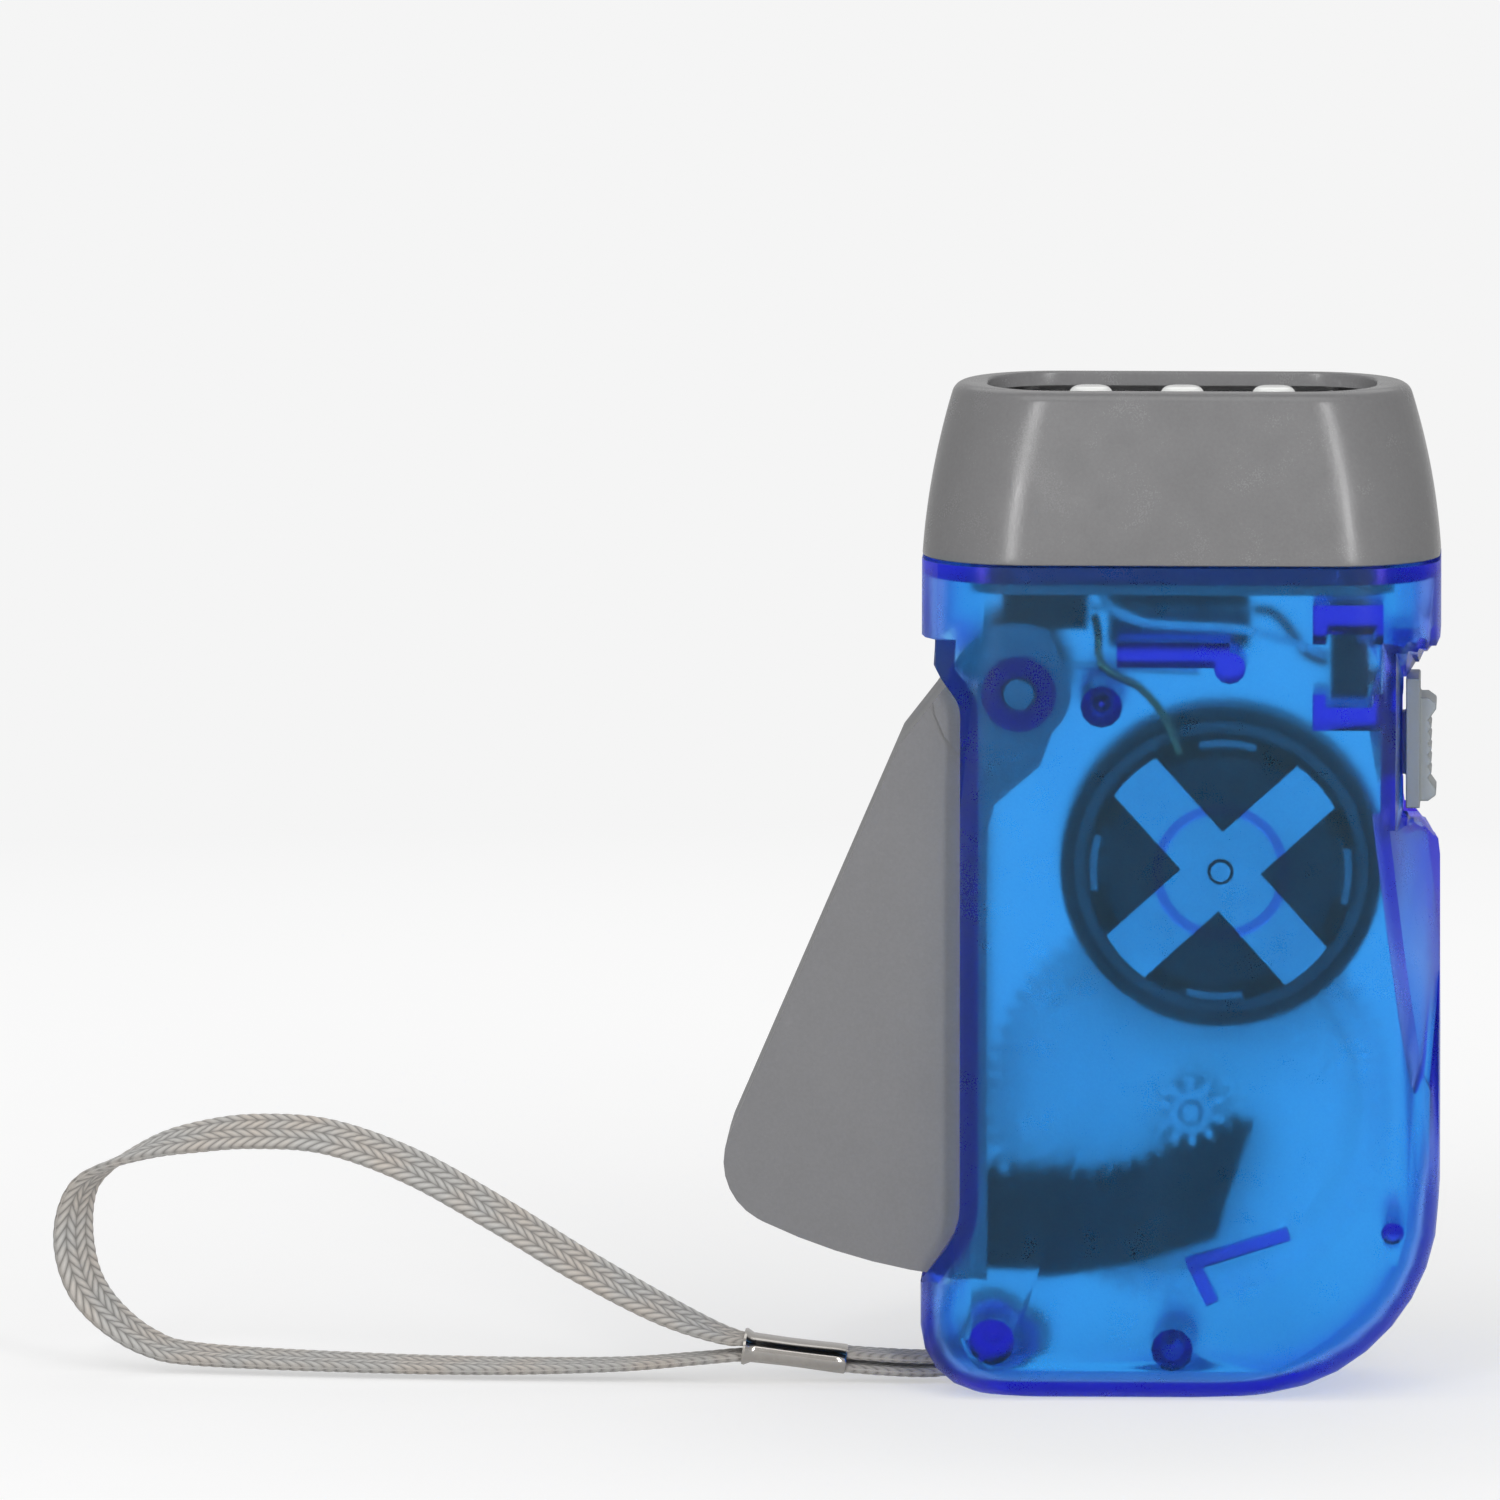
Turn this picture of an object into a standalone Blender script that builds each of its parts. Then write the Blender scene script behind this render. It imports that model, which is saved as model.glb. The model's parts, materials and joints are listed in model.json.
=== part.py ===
"""Squeeze-lever dynamo flashlight, one named object for each separate piece.

Metres, +Z up. The case stands on its base, X runs across it, negative Y is the
front and the lamp head is on top. All pieces hang on one empty, which sets the
flashlight so that its outer box is centred on the origin.
"""

import math

import bmesh
import bpy
import numpy as np
from mathutils import Matrix, Vector

# Clearances
FIT_GAP = 0.0003
OVERRUN = 0.0010
ROOT_DEPTH = 0.0006
WELD_DISTANCE = OVERRUN / 1000

# Fineness
ARC_STEP = math.radians(12)
CORNER_STEPS = 5
ROUND_STEPS = 24
SMALL_STEPS = 12
WHEEL_STEPS = 44
SMOOTH_ANGLE = math.radians(32)
FLANK_MIDDLE_SHARE = 0.35
HUB_ARC_STEPS = 4
LEVER_FOOT_STEPS = 6
SECTOR_ROOT_STEPS = 8
SECTOR_BACK_STEPS = 16
FLAT_ANGLE = math.radians(0.4)

# Case
CASE_WIDTH = 0.0515
CASE_DEPTH = 0.0270
WALL = 0.0018
RELIEF_SETBACK = 0.0040
PIVOT_INSET = 0.0098
PIVOT_DROP = 0.01284

# Gear train: its large gear fills the case from side to side, and the case is as tall as the train needs
PRESSURE_ANGLE = math.radians(20)
ADDENDUM_SHARE = 0.75
DEDENDUM_SHARE = 1.15
TOOTH_SHARE = 0.40
SECTOR_TEETH = 162
PINION_TEETH = 10
GEAR_TEETH = 66
FLY_TEETH = 17
GEAR_SIDE_ROOM = 0.0034
GEAR_FOOT_ROOM = 0.0078386
GEAR_ANGLE = math.radians(21.69)
FLY_ANGLE = math.radians(7.29)
GEAR_ROOM = CASE_WIDTH - RELIEF_SETBACK - 2 * WALL - GEAR_SIDE_ROOM
MODULE = GEAR_ROOM / (GEAR_TEETH + 2 * ADDENDUM_SHARE)
SECTOR_PITCH = MODULE * SECTOR_TEETH / 2
PINION_PITCH = MODULE * PINION_TEETH / 2
GEAR_PITCH = MODULE * GEAR_TEETH / 2
FLY_PITCH = MODULE * FLY_TEETH / 2
TRAIN_DROP = (SECTOR_PITCH - PINION_PITCH) * math.cos(GEAR_ANGLE)

# Case height and edges
CASE_HEIGHT = PIVOT_DROP + TRAIN_DROP + GEAR_PITCH + MODULE * ADDENDUM_SHARE + GEAR_FOOT_ROOM
POCKET_WALL = 0.0014
RECESS_WALL = 0.0016
CORNER_LOW = 0.0050
CORNER_BLEND_HEIGHT = 0.0333
CORNER_BLEND_STEPS = 4
BASE_RADIUS_LEFT = 0.0070
BASE_EDGE_RADIUS = 0.0030
BASE_STEPS = 9
HALF_WIDTH = CASE_WIDTH / 2
HALF_DEPTH = CASE_DEPTH / 2
CORNER_FLAT = 0.0047
CORNER_TOP = HALF_DEPTH - CORNER_FLAT
BASE_FLAT = 0.00625
BASE_RADIUS_RIGHT = HALF_WIDTH - BASE_FLAT
INNER_DEPTH = HALF_DEPTH - WALL

# Relief on the left, where the lever folds in
PIVOT_X = PIVOT_INSET - HALF_WIDTH
PIVOT_Z = CASE_HEIGHT - PIVOT_DROP
RELIEF_FOOT = 0.0120
RELIEF_FLARE = 0.0050
RELIEF_FLARE_RADIUS = 0.0070
RELIEF_NOSE = 0.0004
RELIEF_TOP_DROP = 0.00096
RELIEF_TOP = PIVOT_Z - RELIEF_TOP_DROP
WAIST_SETBACK = 0.00205
WAIST_RISE = 0.00144
WAIST_MIDDLE = PIVOT_Z + WAIST_RISE
SHOULDER_HEIGHT = 0.0078
WAIST_TOP = CASE_HEIGHT - SHOULDER_HEIGHT
WAIST_RADIUS = 0.0030
WAIST_LEAD = 0.0018

# Thumb recess and slider groove on the right
RECESS_SETBACK = 0.0044
RECESS_DROP = 0.0076
RECESS_HEIGHT = 0.0195
RECESS_TOP = CASE_HEIGHT - RECESS_DROP
RECESS_FOOT = RECESS_TOP - RECESS_HEIGHT
RECESS_DIP = 0.0016
GROOVE_SETBACK = 0.0037
SWITCH_INSET = 0.0073
GROOVE_HALF = 0.0043
GROOVE_FOOT_INSET = 0.0008
GROOVE_TOP_INSET = 0.0005
GROOVE_FOOT = RECESS_FOOT + GROOVE_FOOT_INSET
GROOVE_TOP = RECESS_TOP - GROOVE_TOP_INSET
STEM_SLOT_HALF = 0.0016
STEM_SLOT_FOOT_INSET = 0.0040
STEM_SLOT_TOP_INSET = 0.0047
STEM_SLOT_FOOT = GROOVE_FOOT + STEM_SLOT_FOOT_INSET
STEM_SLOT_TOP = GROOVE_TOP - STEM_SLOT_TOP_INSET
# Recess edge at the parting line: share of the groove setback, share of the height
RECESS_EDGE_SHARES = (
    (0.000, 0.990),
    (0.162, 0.933),
    (0.365, 0.890),
    (0.554, 0.819),
    (0.905, 0.719),
    (1.000, 0.657),
    (1.000, 0.342),
    (0.878, 0.204),
    (0.743, 0.156),
    (0.432, 0.095),
    (0.162, 0.030),
)
FACET_LENGTH = 0.0175
FACET_FRONT_SETBACK = 0.0044
FACET_FRONT_STEP = 0.0012
FACET_SIDE_SETBACK = 0.0003
FACET_APEX_SETBACK = 0.0014
FACET_APEX_STEP = 0.0040
FACET_REACH_SHARE = 0.45
FACET_FAR_SHARE = 0.62

# Lever slot and strap notch
SLOT_LEAD = 0.0002
SLOT_TOP = WAIST_TOP + SLOT_LEAD
NOTCH_HALF = 0.0029
NOTCH_TOP = 0.0046

# Lamp head
HEAD_GAP = 0.0002
HEAD_HEIGHT = 0.0170
HEAD_DRAW = 0.0032
HEAD_DRAW_STRAIGHT_SHARE = 0.34
HEAD_STEPS = 6
RIM_RADIUS = 0.0010
RIM_STEPS = 3
MOUTH_SIDE_INSET = 0.00645
MOUTH_FRONT_INSET = 0.0047
MOUTH_WIDTH = CASE_WIDTH - 2 * MOUTH_SIDE_INSET
MOUTH_DEPTH = CASE_DEPTH - 2 * MOUTH_FRONT_INSET
MOUTH_FLAT = 0.0016
MOUTH_RADIUS = MOUTH_DEPTH / 2 - MOUTH_FLAT
MOUTH_LIP = 0.0014
BAY_UNDERCUT = 0.00115
BAY_WIDTH = MOUTH_WIDTH + 2 * BAY_UNDERCUT
BAY_DEPTH = MOUTH_DEPTH + 2 * BAY_UNDERCUT
BAY_FLAT = 0.00305
BAY_RADIUS = BAY_DEPTH / 2 - BAY_FLAT
BAY_FLOOR = 0.0113
BAY_SIDE_LEDGE = 0.00245
BAY_FRONT_LEDGE = 0.00345
THROAT_WIDTH = BAY_WIDTH - 2 * BAY_SIDE_LEDGE
THROAT_DEPTH = BAY_DEPTH - 2 * BAY_FRONT_LEDGE
THROAT_FLAT = 0.0025
THROAT_RADIUS = THROAT_DEPTH / 2 - THROAT_FLAT
NECK_WALL = 0.0017
NECK_WIDTH = THROAT_WIDTH + 2 * NECK_WALL
NECK_DEPTH = THROAT_DEPTH + 2 * NECK_WALL
NECK_FLAT = 0.0032
NECK_RADIUS = NECK_DEPTH / 2 - NECK_FLAT
FLANGE_REACH = 0.0013
FLANGE_WIDTH = NECK_WIDTH + 2 * FLANGE_REACH
FLANGE_DEPTH = NECK_DEPTH + 2 * FLANGE_REACH
FLANGE_THICKNESS = 0.0010
HEAD_BASE = CASE_HEIGHT + HEAD_GAP
HEAD_TOP = HEAD_BASE + HEAD_HEIGHT
BAY_BASE = HEAD_TOP - BAY_FLOOR
FLANGE_TOP = CASE_HEIGHT - WALL - FIT_GAP
FLANGE_BASE = FLANGE_TOP - FLANGE_THICKNESS

# LEDs, their board and the reflector plate
LED_COUNT = 3
LED_PITCH = 0.0091
LED_RADIUS = 0.0025
LED_RIM_RADIUS = 0.0029
LED_RIM_HEIGHT = 0.0010
LED_DROP = 0.0004
DOME_STEPS = 3
LED_STEPS = 16
DOME_TIP_SHARE = 0.12
BOARD_SIDE_GAP = 0.00145
BOARD_FRONT_GAP = 0.00195
BOARD_WIDTH = BAY_WIDTH - 2 * BOARD_SIDE_GAP
BOARD_DEPTH = BAY_DEPTH - 2 * BOARD_FRONT_GAP
BOARD_THICKNESS = 0.0015
BOARD_FLAT = 0.0020
BOARD_RADIUS = BOARD_DEPTH / 2 - BOARD_FLAT
BOARD_BASE = BAY_BASE + FIT_GAP
LED_BASE = BOARD_BASE + BOARD_THICKNESS + FIT_GAP
PLATE_GAP = 0.00025
PLATE_WIDTH = BAY_WIDTH - 2 * PLATE_GAP
PLATE_DEPTH = BAY_DEPTH - 2 * PLATE_GAP
PLATE_CORNER_GAP = 0.0003
PLATE_RADIUS = BAY_RADIUS - PLATE_CORNER_GAP
PLATE_THICKNESS = 0.0006
PLATE_TOP = HEAD_TOP - MOUTH_LIP - FIT_GAP
PLATE_LEG_WIDTH = 0.0080
PLATE_LEG_THICKNESS = 0.0008
CUP_TOP_RADIUS = 0.0041
CUP_LOW_RADIUS = 0.0029
CUP_DEPTH = 0.0022
CUP_WALL = 0.0005

# Rectifier, battery and their tab
RECTIFIER_SIDE_GAP = 0.00025
RECTIFIER_LEFT = RECTIFIER_SIDE_GAP - THROAT_WIDTH / 2
RECTIFIER_WIDTH = 0.0085
RECTIFIER_FRONT_GAP = 0.0010
RECTIFIER_FRONT = RECTIFIER_FRONT_GAP - THROAT_DEPTH / 2
RECTIFIER_BACK = 0.0020
RECTIFIER_DROP = 0.0070
RECTIFIER_BASE = CASE_HEIGHT - RECTIFIER_DROP
BATTERY_RADIUS = 0.0039
BATTERY_DROP = 0.0056
BATTERY_TAB_ROOM = 0.0020
BATTERY_SWITCH_ROOM = 0.0080
BATTERY_LEFT = RECTIFIER_LEFT + RECTIFIER_WIDTH + BATTERY_TAB_ROOM
BATTERY_LENGTH = HALF_WIDTH - GROOVE_SETBACK - SWITCH_INSET - BATTERY_SWITCH_ROOM - BATTERY_LEFT
BATTERY_X = BATTERY_LEFT + BATTERY_LENGTH / 2
BATTERY_Z = CASE_HEIGHT - BATTERY_DROP
BATTERY_CELLS = 3
BATTERY_NECK = 0.0003
BATTERY_WAIST = 0.0004
TAB_HALF = 0.0020
TAB_THICKNESS = 0.0004

# Slide switch
SWITCH_LEFT = HALF_WIDTH - GROOVE_SETBACK - SWITCH_INSET
SWITCH_WIDTH = 0.0040
SWITCH_DROP = 0.0061
SWITCH_BASE = RECESS_TOP - SWITCH_DROP
SWITCH_LENGTH = 0.0067
SWITCH_FRONT = -0.0055
SWITCH_BACK = 0.0015
SWITCH_TRACK_HALF = 0.0009
SWITCH_TRACK_DEPTH = 0.0012
SWITCH_TRACK_END = 0.0004
SLIDER_TRAVEL = 0.0025
SLIDER_PLATE_HALF = 0.0040
SLIDER_FOOT_GAP = 0.0013
SLIDER_TOP_GAP = 0.0014
SLIDER_PLATE_FOOT = GROOVE_FOOT + SLIDER_FOOT_GAP
SLIDER_PLATE_TOP = GROOVE_TOP - SLIDER_TRAVEL - SLIDER_TOP_GAP
SLIDER_PLATE_THICKNESS = 0.0014
SLIDER_PAD_HALF = 0.0034
SLIDER_PAD_INSET = 0.00065
SLIDER_PAD_DROP = 0.0020
SLIDER_PAD_FOOT = SLIDER_PLATE_FOOT + SLIDER_PAD_INSET
SLIDER_PAD_TOP = SLIDER_PLATE_TOP - SLIDER_PAD_DROP
SLIDER_PAD_HEIGHT = 0.0016
SLIDER_PAD_DIP = 0.0008
SLIDER_RIBS = 5
SLIDER_RIB_HEIGHT = 0.0004
SLIDER_STEM_HALF = 0.0012
SLIDER_STEM_GAP = 0.0004
SLIDER_STEM_FOOT = STEM_SLOT_FOOT + SLIDER_STEM_GAP
SLIDER_STEM_TOP = STEM_SLOT_TOP - SLIDER_TRAVEL - SLIDER_STEM_GAP
SLIDER_ARM_INSET = 0.0006
SLIDER_ARM_THICKNESS = 0.0009
SLIDER_ARM_HALF = 0.0016
SLIDER_ARM_RISE = 0.0018
SLIDER_ARM_OVERLAP = 0.0024
SLIDER_ARM_FOOT = SLIDER_STEM_FOOT + SLIDER_ARM_RISE
SLIDER_ARM_TOP = SWITCH_BASE + SLIDER_ARM_OVERLAP
SLIDER_PEG_HALF = 0.0006
SLIDER_PEG_LENGTH = 0.0013
GROOVE_FLOOR = HALF_WIDTH - GROOVE_SETBACK
SWITCH_RIGHT = SWITCH_LEFT + SWITCH_WIDTH
SLIDER_BACK = GROOVE_FLOOR + FIT_GAP
SLIDER_FACE = SLIDER_BACK + SLIDER_PLATE_THICKNESS
SLIDER_ARM_RIGHT = GROOVE_FLOOR - POCKET_WALL - SLIDER_ARM_INSET
SLIDER_ARM_LEFT = SLIDER_ARM_RIGHT - SLIDER_ARM_THICKNESS

# Squeeze lever
LEVER_TRAVEL = math.radians(22)
BOSS_LENGTH = 0.0019
BOSS_SIDE_GAP = 0.0004
HUB_PAD_HEIGHT = 0.0004
LEVER_PLATE = 0.0015
LEVER_INNER_HALF = INNER_DEPTH - BOSS_LENGTH - BOSS_SIDE_GAP - HUB_PAD_HEIGHT - LEVER_PLATE
LEVER_WEB = 0.0015
LEVER_HALF = LEVER_INNER_HALF + LEVER_PLATE
SLOT_SIDE_GAP = 0.0008
SLOT_HALF = LEVER_HALF + SLOT_SIDE_GAP
HUB_RADIUS = 0.0069
HUB_RIGHT_RADIUS = 0.0052
HUB_PAD_RADIUS = 0.0087
HUB_TOP_ANGLE = math.radians(66)
HUB_LEFT_ANGLE = math.radians(170)
HUB_RIGHT_START = math.radians(-50)
HUB_RIGHT_END = math.radians(38)
WEB_START_ANGLE = math.radians(126)
SECTOR_RIM = 0.0100
SECTOR_SHOULDER = 0.0071
LEVER_TIP_GAP = 0.0004
LEVER_REACH = SECTOR_PITCH + SECTOR_RIM + LEVER_TIP_GAP
SLOT_FOOT_GAP = 0.00016
SLOT_FOOT = PIVOT_Z - LEVER_REACH - SLOT_FOOT_GAP
LEVER_TIP_ANGLE = math.radians(-31.94)
LEVER_TIP_RADIUS = 0.0065
SHOULDER_RADIUS = 0.0010
# Points of the lever as shares of its reach from the pivot
SHOULDER_SHARES = (-0.2017, -0.0907)
INNER_EDGE_SHARE = -0.0525
NECK_LOW_SHARES = (-0.0407, -0.1924)
NECK_LOWER_SHARE = -0.2432
NECK_HIGH_SHARES = (0.0356, -0.1246)
PIN_RADIUS = 0.0015
PIN_END_GAP = 0.0004
BOSS_RADIUS = 0.0037
BOSS_FACE = LEVER_HALF + HUB_PAD_HEIGHT + BOSS_SIDE_GAP

# Return spring on the pivot pin
SPRING_WIRE = 0.0007
SPRING_RADIUS = 0.0025
SPRING_TURNS = 5
SPRING_POINTS = 9
SPRING_PITCH = 0.0012
SPRING_SIDE_GAP = 0.0019
SPRING_FRONT = SPRING_SIDE_GAP - LEVER_INNER_HALF
SPRING_LEAVE_ANGLE = math.radians(141.4)
SPRING_LONG_LEG_SHARE = 0.3017
SPRING_LONG_LEG = LEVER_REACH * SPRING_LONG_LEG_SHARE
SPRING_LEG_DROP = 0.0008
SPRING_LEG_SHORTFALL = 0.0066
SPRING_SHORT_LEG = BATTERY_LEFT + BATTERY_LENGTH - PIVOT_X - SPRING_LEG_SHORTFALL

# Gears
SECTOR_FIRST_ANGLE = math.radians(-4)
SECTOR_LAST_ANGLE = math.radians(28.1)
SECTOR_OUTER_RADIUS = SECTOR_PITCH + SECTOR_RIM
SECTOR_SHOULDER_RADIUS = SECTOR_PITCH + SECTOR_SHOULDER
SECTOR_SHOULDER_ANGLE = math.radians(21.5)
SECTOR_CORNER_ANGLE = math.radians(19.5)
SECTOR_FRONT = -0.0040
SECTOR_BACK = 0.0000
PINION_FRONT = -0.0046
PINION_BACK = 0.0009
GEAR_FRONT = 0.0012
GEAR_BACK = 0.0036
GEAR_RIM_WIDTH = 0.0022
GEAR_WEB_THICKNESS = 0.0012
GEAR_HUB_RADIUS = 0.0042
GEAR_SHAFT_RADIUS = 0.0010
GEAR_SHAFT_FRONT = -0.0059
WASHER_RADIUS = 0.0022
WASHER_FRONT = -0.0056
WASHER_THICKNESS = 0.0005
GEAR_BOSS_RADIUS = 0.0022
GEAR_BOSS_FRONT = 0.0040
FLY_PINION_BACK = 0.0042
SHAFT_RADIUS = 0.0010
SHAFT_BORE = SHAFT_RADIUS + FIT_GAP
GEAR_X = PIVOT_X + (SECTOR_PITCH - PINION_PITCH) * math.sin(GEAR_ANGLE)
GEAR_Z = PIVOT_Z - TRAIN_DROP
FLY_X = GEAR_X + (GEAR_PITCH + FLY_PITCH) * math.sin(FLY_ANGLE)
FLY_Z = GEAR_Z + (GEAR_PITCH + FLY_PITCH) * math.cos(FLY_ANGLE)

# Dynamo
FLY_SHAFT_ROOM = 0.0089
FLY_RADIUS = GEAR_PITCH + FLY_PITCH - FLY_SHAFT_ROOM
FLY_RIM = 0.0011
FLY_HUB_RADIUS = 0.0040
FLY_WEB_FRONT = -0.0012
FLY_WEB_BACK = 0.0004
FLY_FRONT = -0.0070
MAGNET_THICKNESS = 0.0012
MAGNET_OUTER = FLY_RADIUS - FLY_RIM - FIT_GAP
MAGNET_INNER = MAGNET_OUTER - MAGNET_THICKNESS
FINGER_CLEARANCE = 0.0004
FINGER_THICKNESS = 0.0007
FINGER_OUTER = MAGNET_INNER - FINGER_CLEARANCE
FINGER_INNER = FINGER_OUTER - FINGER_THICKNESS
POLE_COUNT = 4
POLE_WIDTH_SHARE = 0.43
POLE_WIDTH = FINGER_OUTER * POLE_WIDTH_SHARE
POLE_THICKNESS = 0.0008
POLE_TURN = math.radians(42)
POLE_FRONT_GAP = 0.0008
FRONT_POLE_FACE = POLE_FRONT_GAP - INNER_DEPTH
FRONT_FINGER_END = -0.0036
REAR_POLE_FACE = -0.0024
POLE_FINGER_GAP = 0.0015
REAR_FINGER_END = FRONT_POLE_FACE + POLE_FINGER_GAP
BOBBIN_FLANGE = 0.0008
BOBBIN_GAP = 0.0008
BOBBIN_RADIUS = FINGER_INNER - BOBBIN_GAP
BOBBIN_CORE_SHARE = 0.348
BOBBIN_CORE = BOBBIN_RADIUS * BOBBIN_CORE_SHARE
BOBBIN_BORE = 0.0016
WINDING_DROP = 0.0007
WINDING_RADIUS = BOBBIN_RADIUS - WINDING_DROP
WINDING_INNER = BOBBIN_CORE + FIT_GAP
FLY_BOSS_RADIUS = 0.0030
FLY_BOSS_FRONT = 0.0046
RING_RIB_RADIUS = 0.0063
RING_RIB_WIDTH = 0.0010

# Shell ribs and pillars
PILLAR_HIGH_RUN = 0.0082
PILLAR_HIGH_DROP = 0.00116
PILLAR_HIGH_X = PIVOT_X + PILLAR_HIGH_RUN
PILLAR_HIGH_Z = PIVOT_Z - PILLAR_HIGH_DROP
PILLAR_LOW_X = -0.00065
PILLAR_LOW_Z = 0.0050
PILLAR_RADIUS = 0.0021
PILLAR_BACK_RADIUS = 0.0023
SCREW_RADIUS = 0.0009
SCREW_HEAD_RADIUS = 0.0019
SCREW_HEAD_HEIGHT = 0.0010
SCREW_END_ROOM = 0.0055
SCREW_LENGTH = CASE_DEPTH - SCREW_END_ROOM
SCREW_SLOT_WIDTH = 0.0004
SCREW_SLOT_DEPTH = 0.0004
COUNTERBORE_DEPTH = 0.0014
PILOT_FLOOR = 0.0013
PILOT_DEPTH = INNER_DEPTH - PILOT_FLOOR
POST_INSET = 0.0072
POST_X = POST_INSET - HALF_WIDTH
POST_Z = 0.0057
NOTCH_RUN = 0.00155
NOTCH_END = POST_X + NOTCH_RUN
POST_RADIUS = 0.0023
POST_PIN_RADIUS = 0.0009
POST_PIN_LENGTH = 0.0030
PEG_INSET = 0.0046
PEG_X = HALF_WIDTH - PEG_INSET
PEG_DROP = 0.01139
PEG_Z = GEAR_Z - PEG_DROP
PEG_RADIUS = 0.0011
CORNER_RIB_THICKNESS = 0.0013
CORNER_RIB_HEIGHT = 0.0021
CORNER_RIB_X = 0.00145
CORNER_RIB_Z = 0.0136
CORNER_RIB_LONG_RUN = 0.0088
CORNER_RIB_LONG_RISE = 0.0028
CORNER_RIB_SHORT_RUN = 0.0016
CORNER_RIB_SHORT_DROP = 0.0034
SHELF_LEFT_INSET = 0.0010
SHELF_RIGHT_INSET = 0.0018
SHELF_FOOT_DROP = 0.0045
SHELF_TOP_DROP = 0.0020
SHELF_LEFT = BATTERY_LEFT + SHELF_LEFT_INSET
SHELF_RIGHT = BATTERY_LEFT + BATTERY_LENGTH - SHELF_RIGHT_INSET
SHELF_BASE = BATTERY_Z - SHELF_FOOT_DROP
SHELF_TOP = BATTERY_Z - SHELF_TOP_DROP
SHELF_REACH = 0.0043
SHELF_BUMP_RADIUS = 0.0016
BRACKET_LEFT_REACH = 0.0016
BRACKET_RIGHT_REACH = 0.0013
BRACKET_FOOT_REACH = 0.0026
BRACKET_TOP_REACH = 0.0032
BRACKET_LEFT = SWITCH_LEFT - BRACKET_LEFT_REACH
BRACKET_RIGHT = SWITCH_RIGHT + BRACKET_RIGHT_REACH
BRACKET_LOW_FOOT = SWITCH_BASE - BRACKET_FOOT_REACH
BRACKET_HIGH_TOP = SWITCH_BASE + SWITCH_LENGTH + BRACKET_TOP_REACH
BRACKET_BAR_GAP = 0.0003
BRACKET_HORN = 0.0010
BRACKET_REACH = 0.0022

# Wires
WIRE_RADIUS = 0.0005
LEAD_RADIUS = 0.0004

# Strap
STRAP_WIDTH = 0.0050
STRAP_THICKNESS = 0.0010
STRAP_POINTS = 78
STRAP_CURL = 0.0060
FERRULE_WIDTH = 0.0066
FERRULE_HEIGHT = 0.0039
FERRULE_ROUND_SHARE = 0.71
FERRULE_LENGTH = 0.0104
FERRULE_WALL = 0.0004
FERRULE_LIP = 0.0004
FERRULE_LIP_LENGTH = 0.0009
FERRULE_X = -0.0385
FERRULE_Z = 0.00283
FERRULE_TILT = math.radians(7.0)
FERRULE_STEPS = 28

# Route of the strap: distance along X, side shift along Y, height, tilt in degrees
STRAP_ROUTE = (
    (-0.0418, 0.0000, 0.00391, 0),
    (-0.0385, 0.0000, 0.0035, 0),
    (-0.0340, 0.0000, 0.00295, 0),
    (-0.0290, 0.0000, 0.0026, 0),
    (-0.0260, 0.0000, 0.0025, 0),
    (-0.0240, 0.0000, 0.0026, 0),
    (-0.0228, 0.0000, 0.0032, 0),
    (-0.0221, 0.0000, 0.0045, 0),
    (-0.0217, 0.0000, 0.0063, 0),
    (-0.0204, 0.0000, 0.0083, 0),
    (-0.0180, 0.0000, 0.00885, 0),
    (-0.0159, 0.0000, 0.0075, 0),
    (-0.0154, 0.0000, 0.0051, 0),
    (-0.0167, 0.0000, 0.0031, 0),
    (-0.0188, 0.0000, 0.00245, 0),
    (-0.0207, 0.0000, 0.0020, 0),
    (-0.0226, 0.0000, 0.0014, 0),
    (-0.0250, 0.0000, 0.0011, 0),
    (-0.0290, 0.0000, 0.0012, 0),
    (-0.0340, 0.0000, 0.0016, 0),
    (-0.0385, 0.0000, 0.00215, 0),
    (-0.0430, 0.0000, 0.0026, 0),
    (-0.0480, 0.0001, 0.0022, 0),
    (-0.0560, 0.0005, 0.0015, -2),
    (-0.0685, 0.0011, 0.0012, -7),
    (-0.0830, 0.0024, 0.0013, -10),
    (-0.0983, 0.0047, 0.0017, -14),
    (-0.1033, 0.0052, 0.0028, -22),
    (-0.1073, 0.0055, 0.0055, -34),
    (-0.1099, 0.0055, 0.0090, -45),
    (-0.1109, 0.0054, 0.0135, -48),
    (-0.1102, 0.0052, 0.0178, -34),
    (-0.1079, 0.0050, 0.0203, -14),
    (-0.1030, 0.0045, 0.0226, 12),
    (-0.0986, 0.0040, 0.0237, 26),
    (-0.0928, 0.0034, 0.0244, 33),
    (-0.0853, 0.0026, 0.0240, 34),
    (-0.0770, 0.0018, 0.0212, 35),
    (-0.0685, 0.0011, 0.0166, 35),
    (-0.0600, 0.0005, 0.0115, 33),
    (-0.0520, 0.0001, 0.0072, 26),
    (-0.0460, 0.0000, 0.0047, 10),
    (-0.0428, 0.0000, 0.00404, 0),
)

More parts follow.
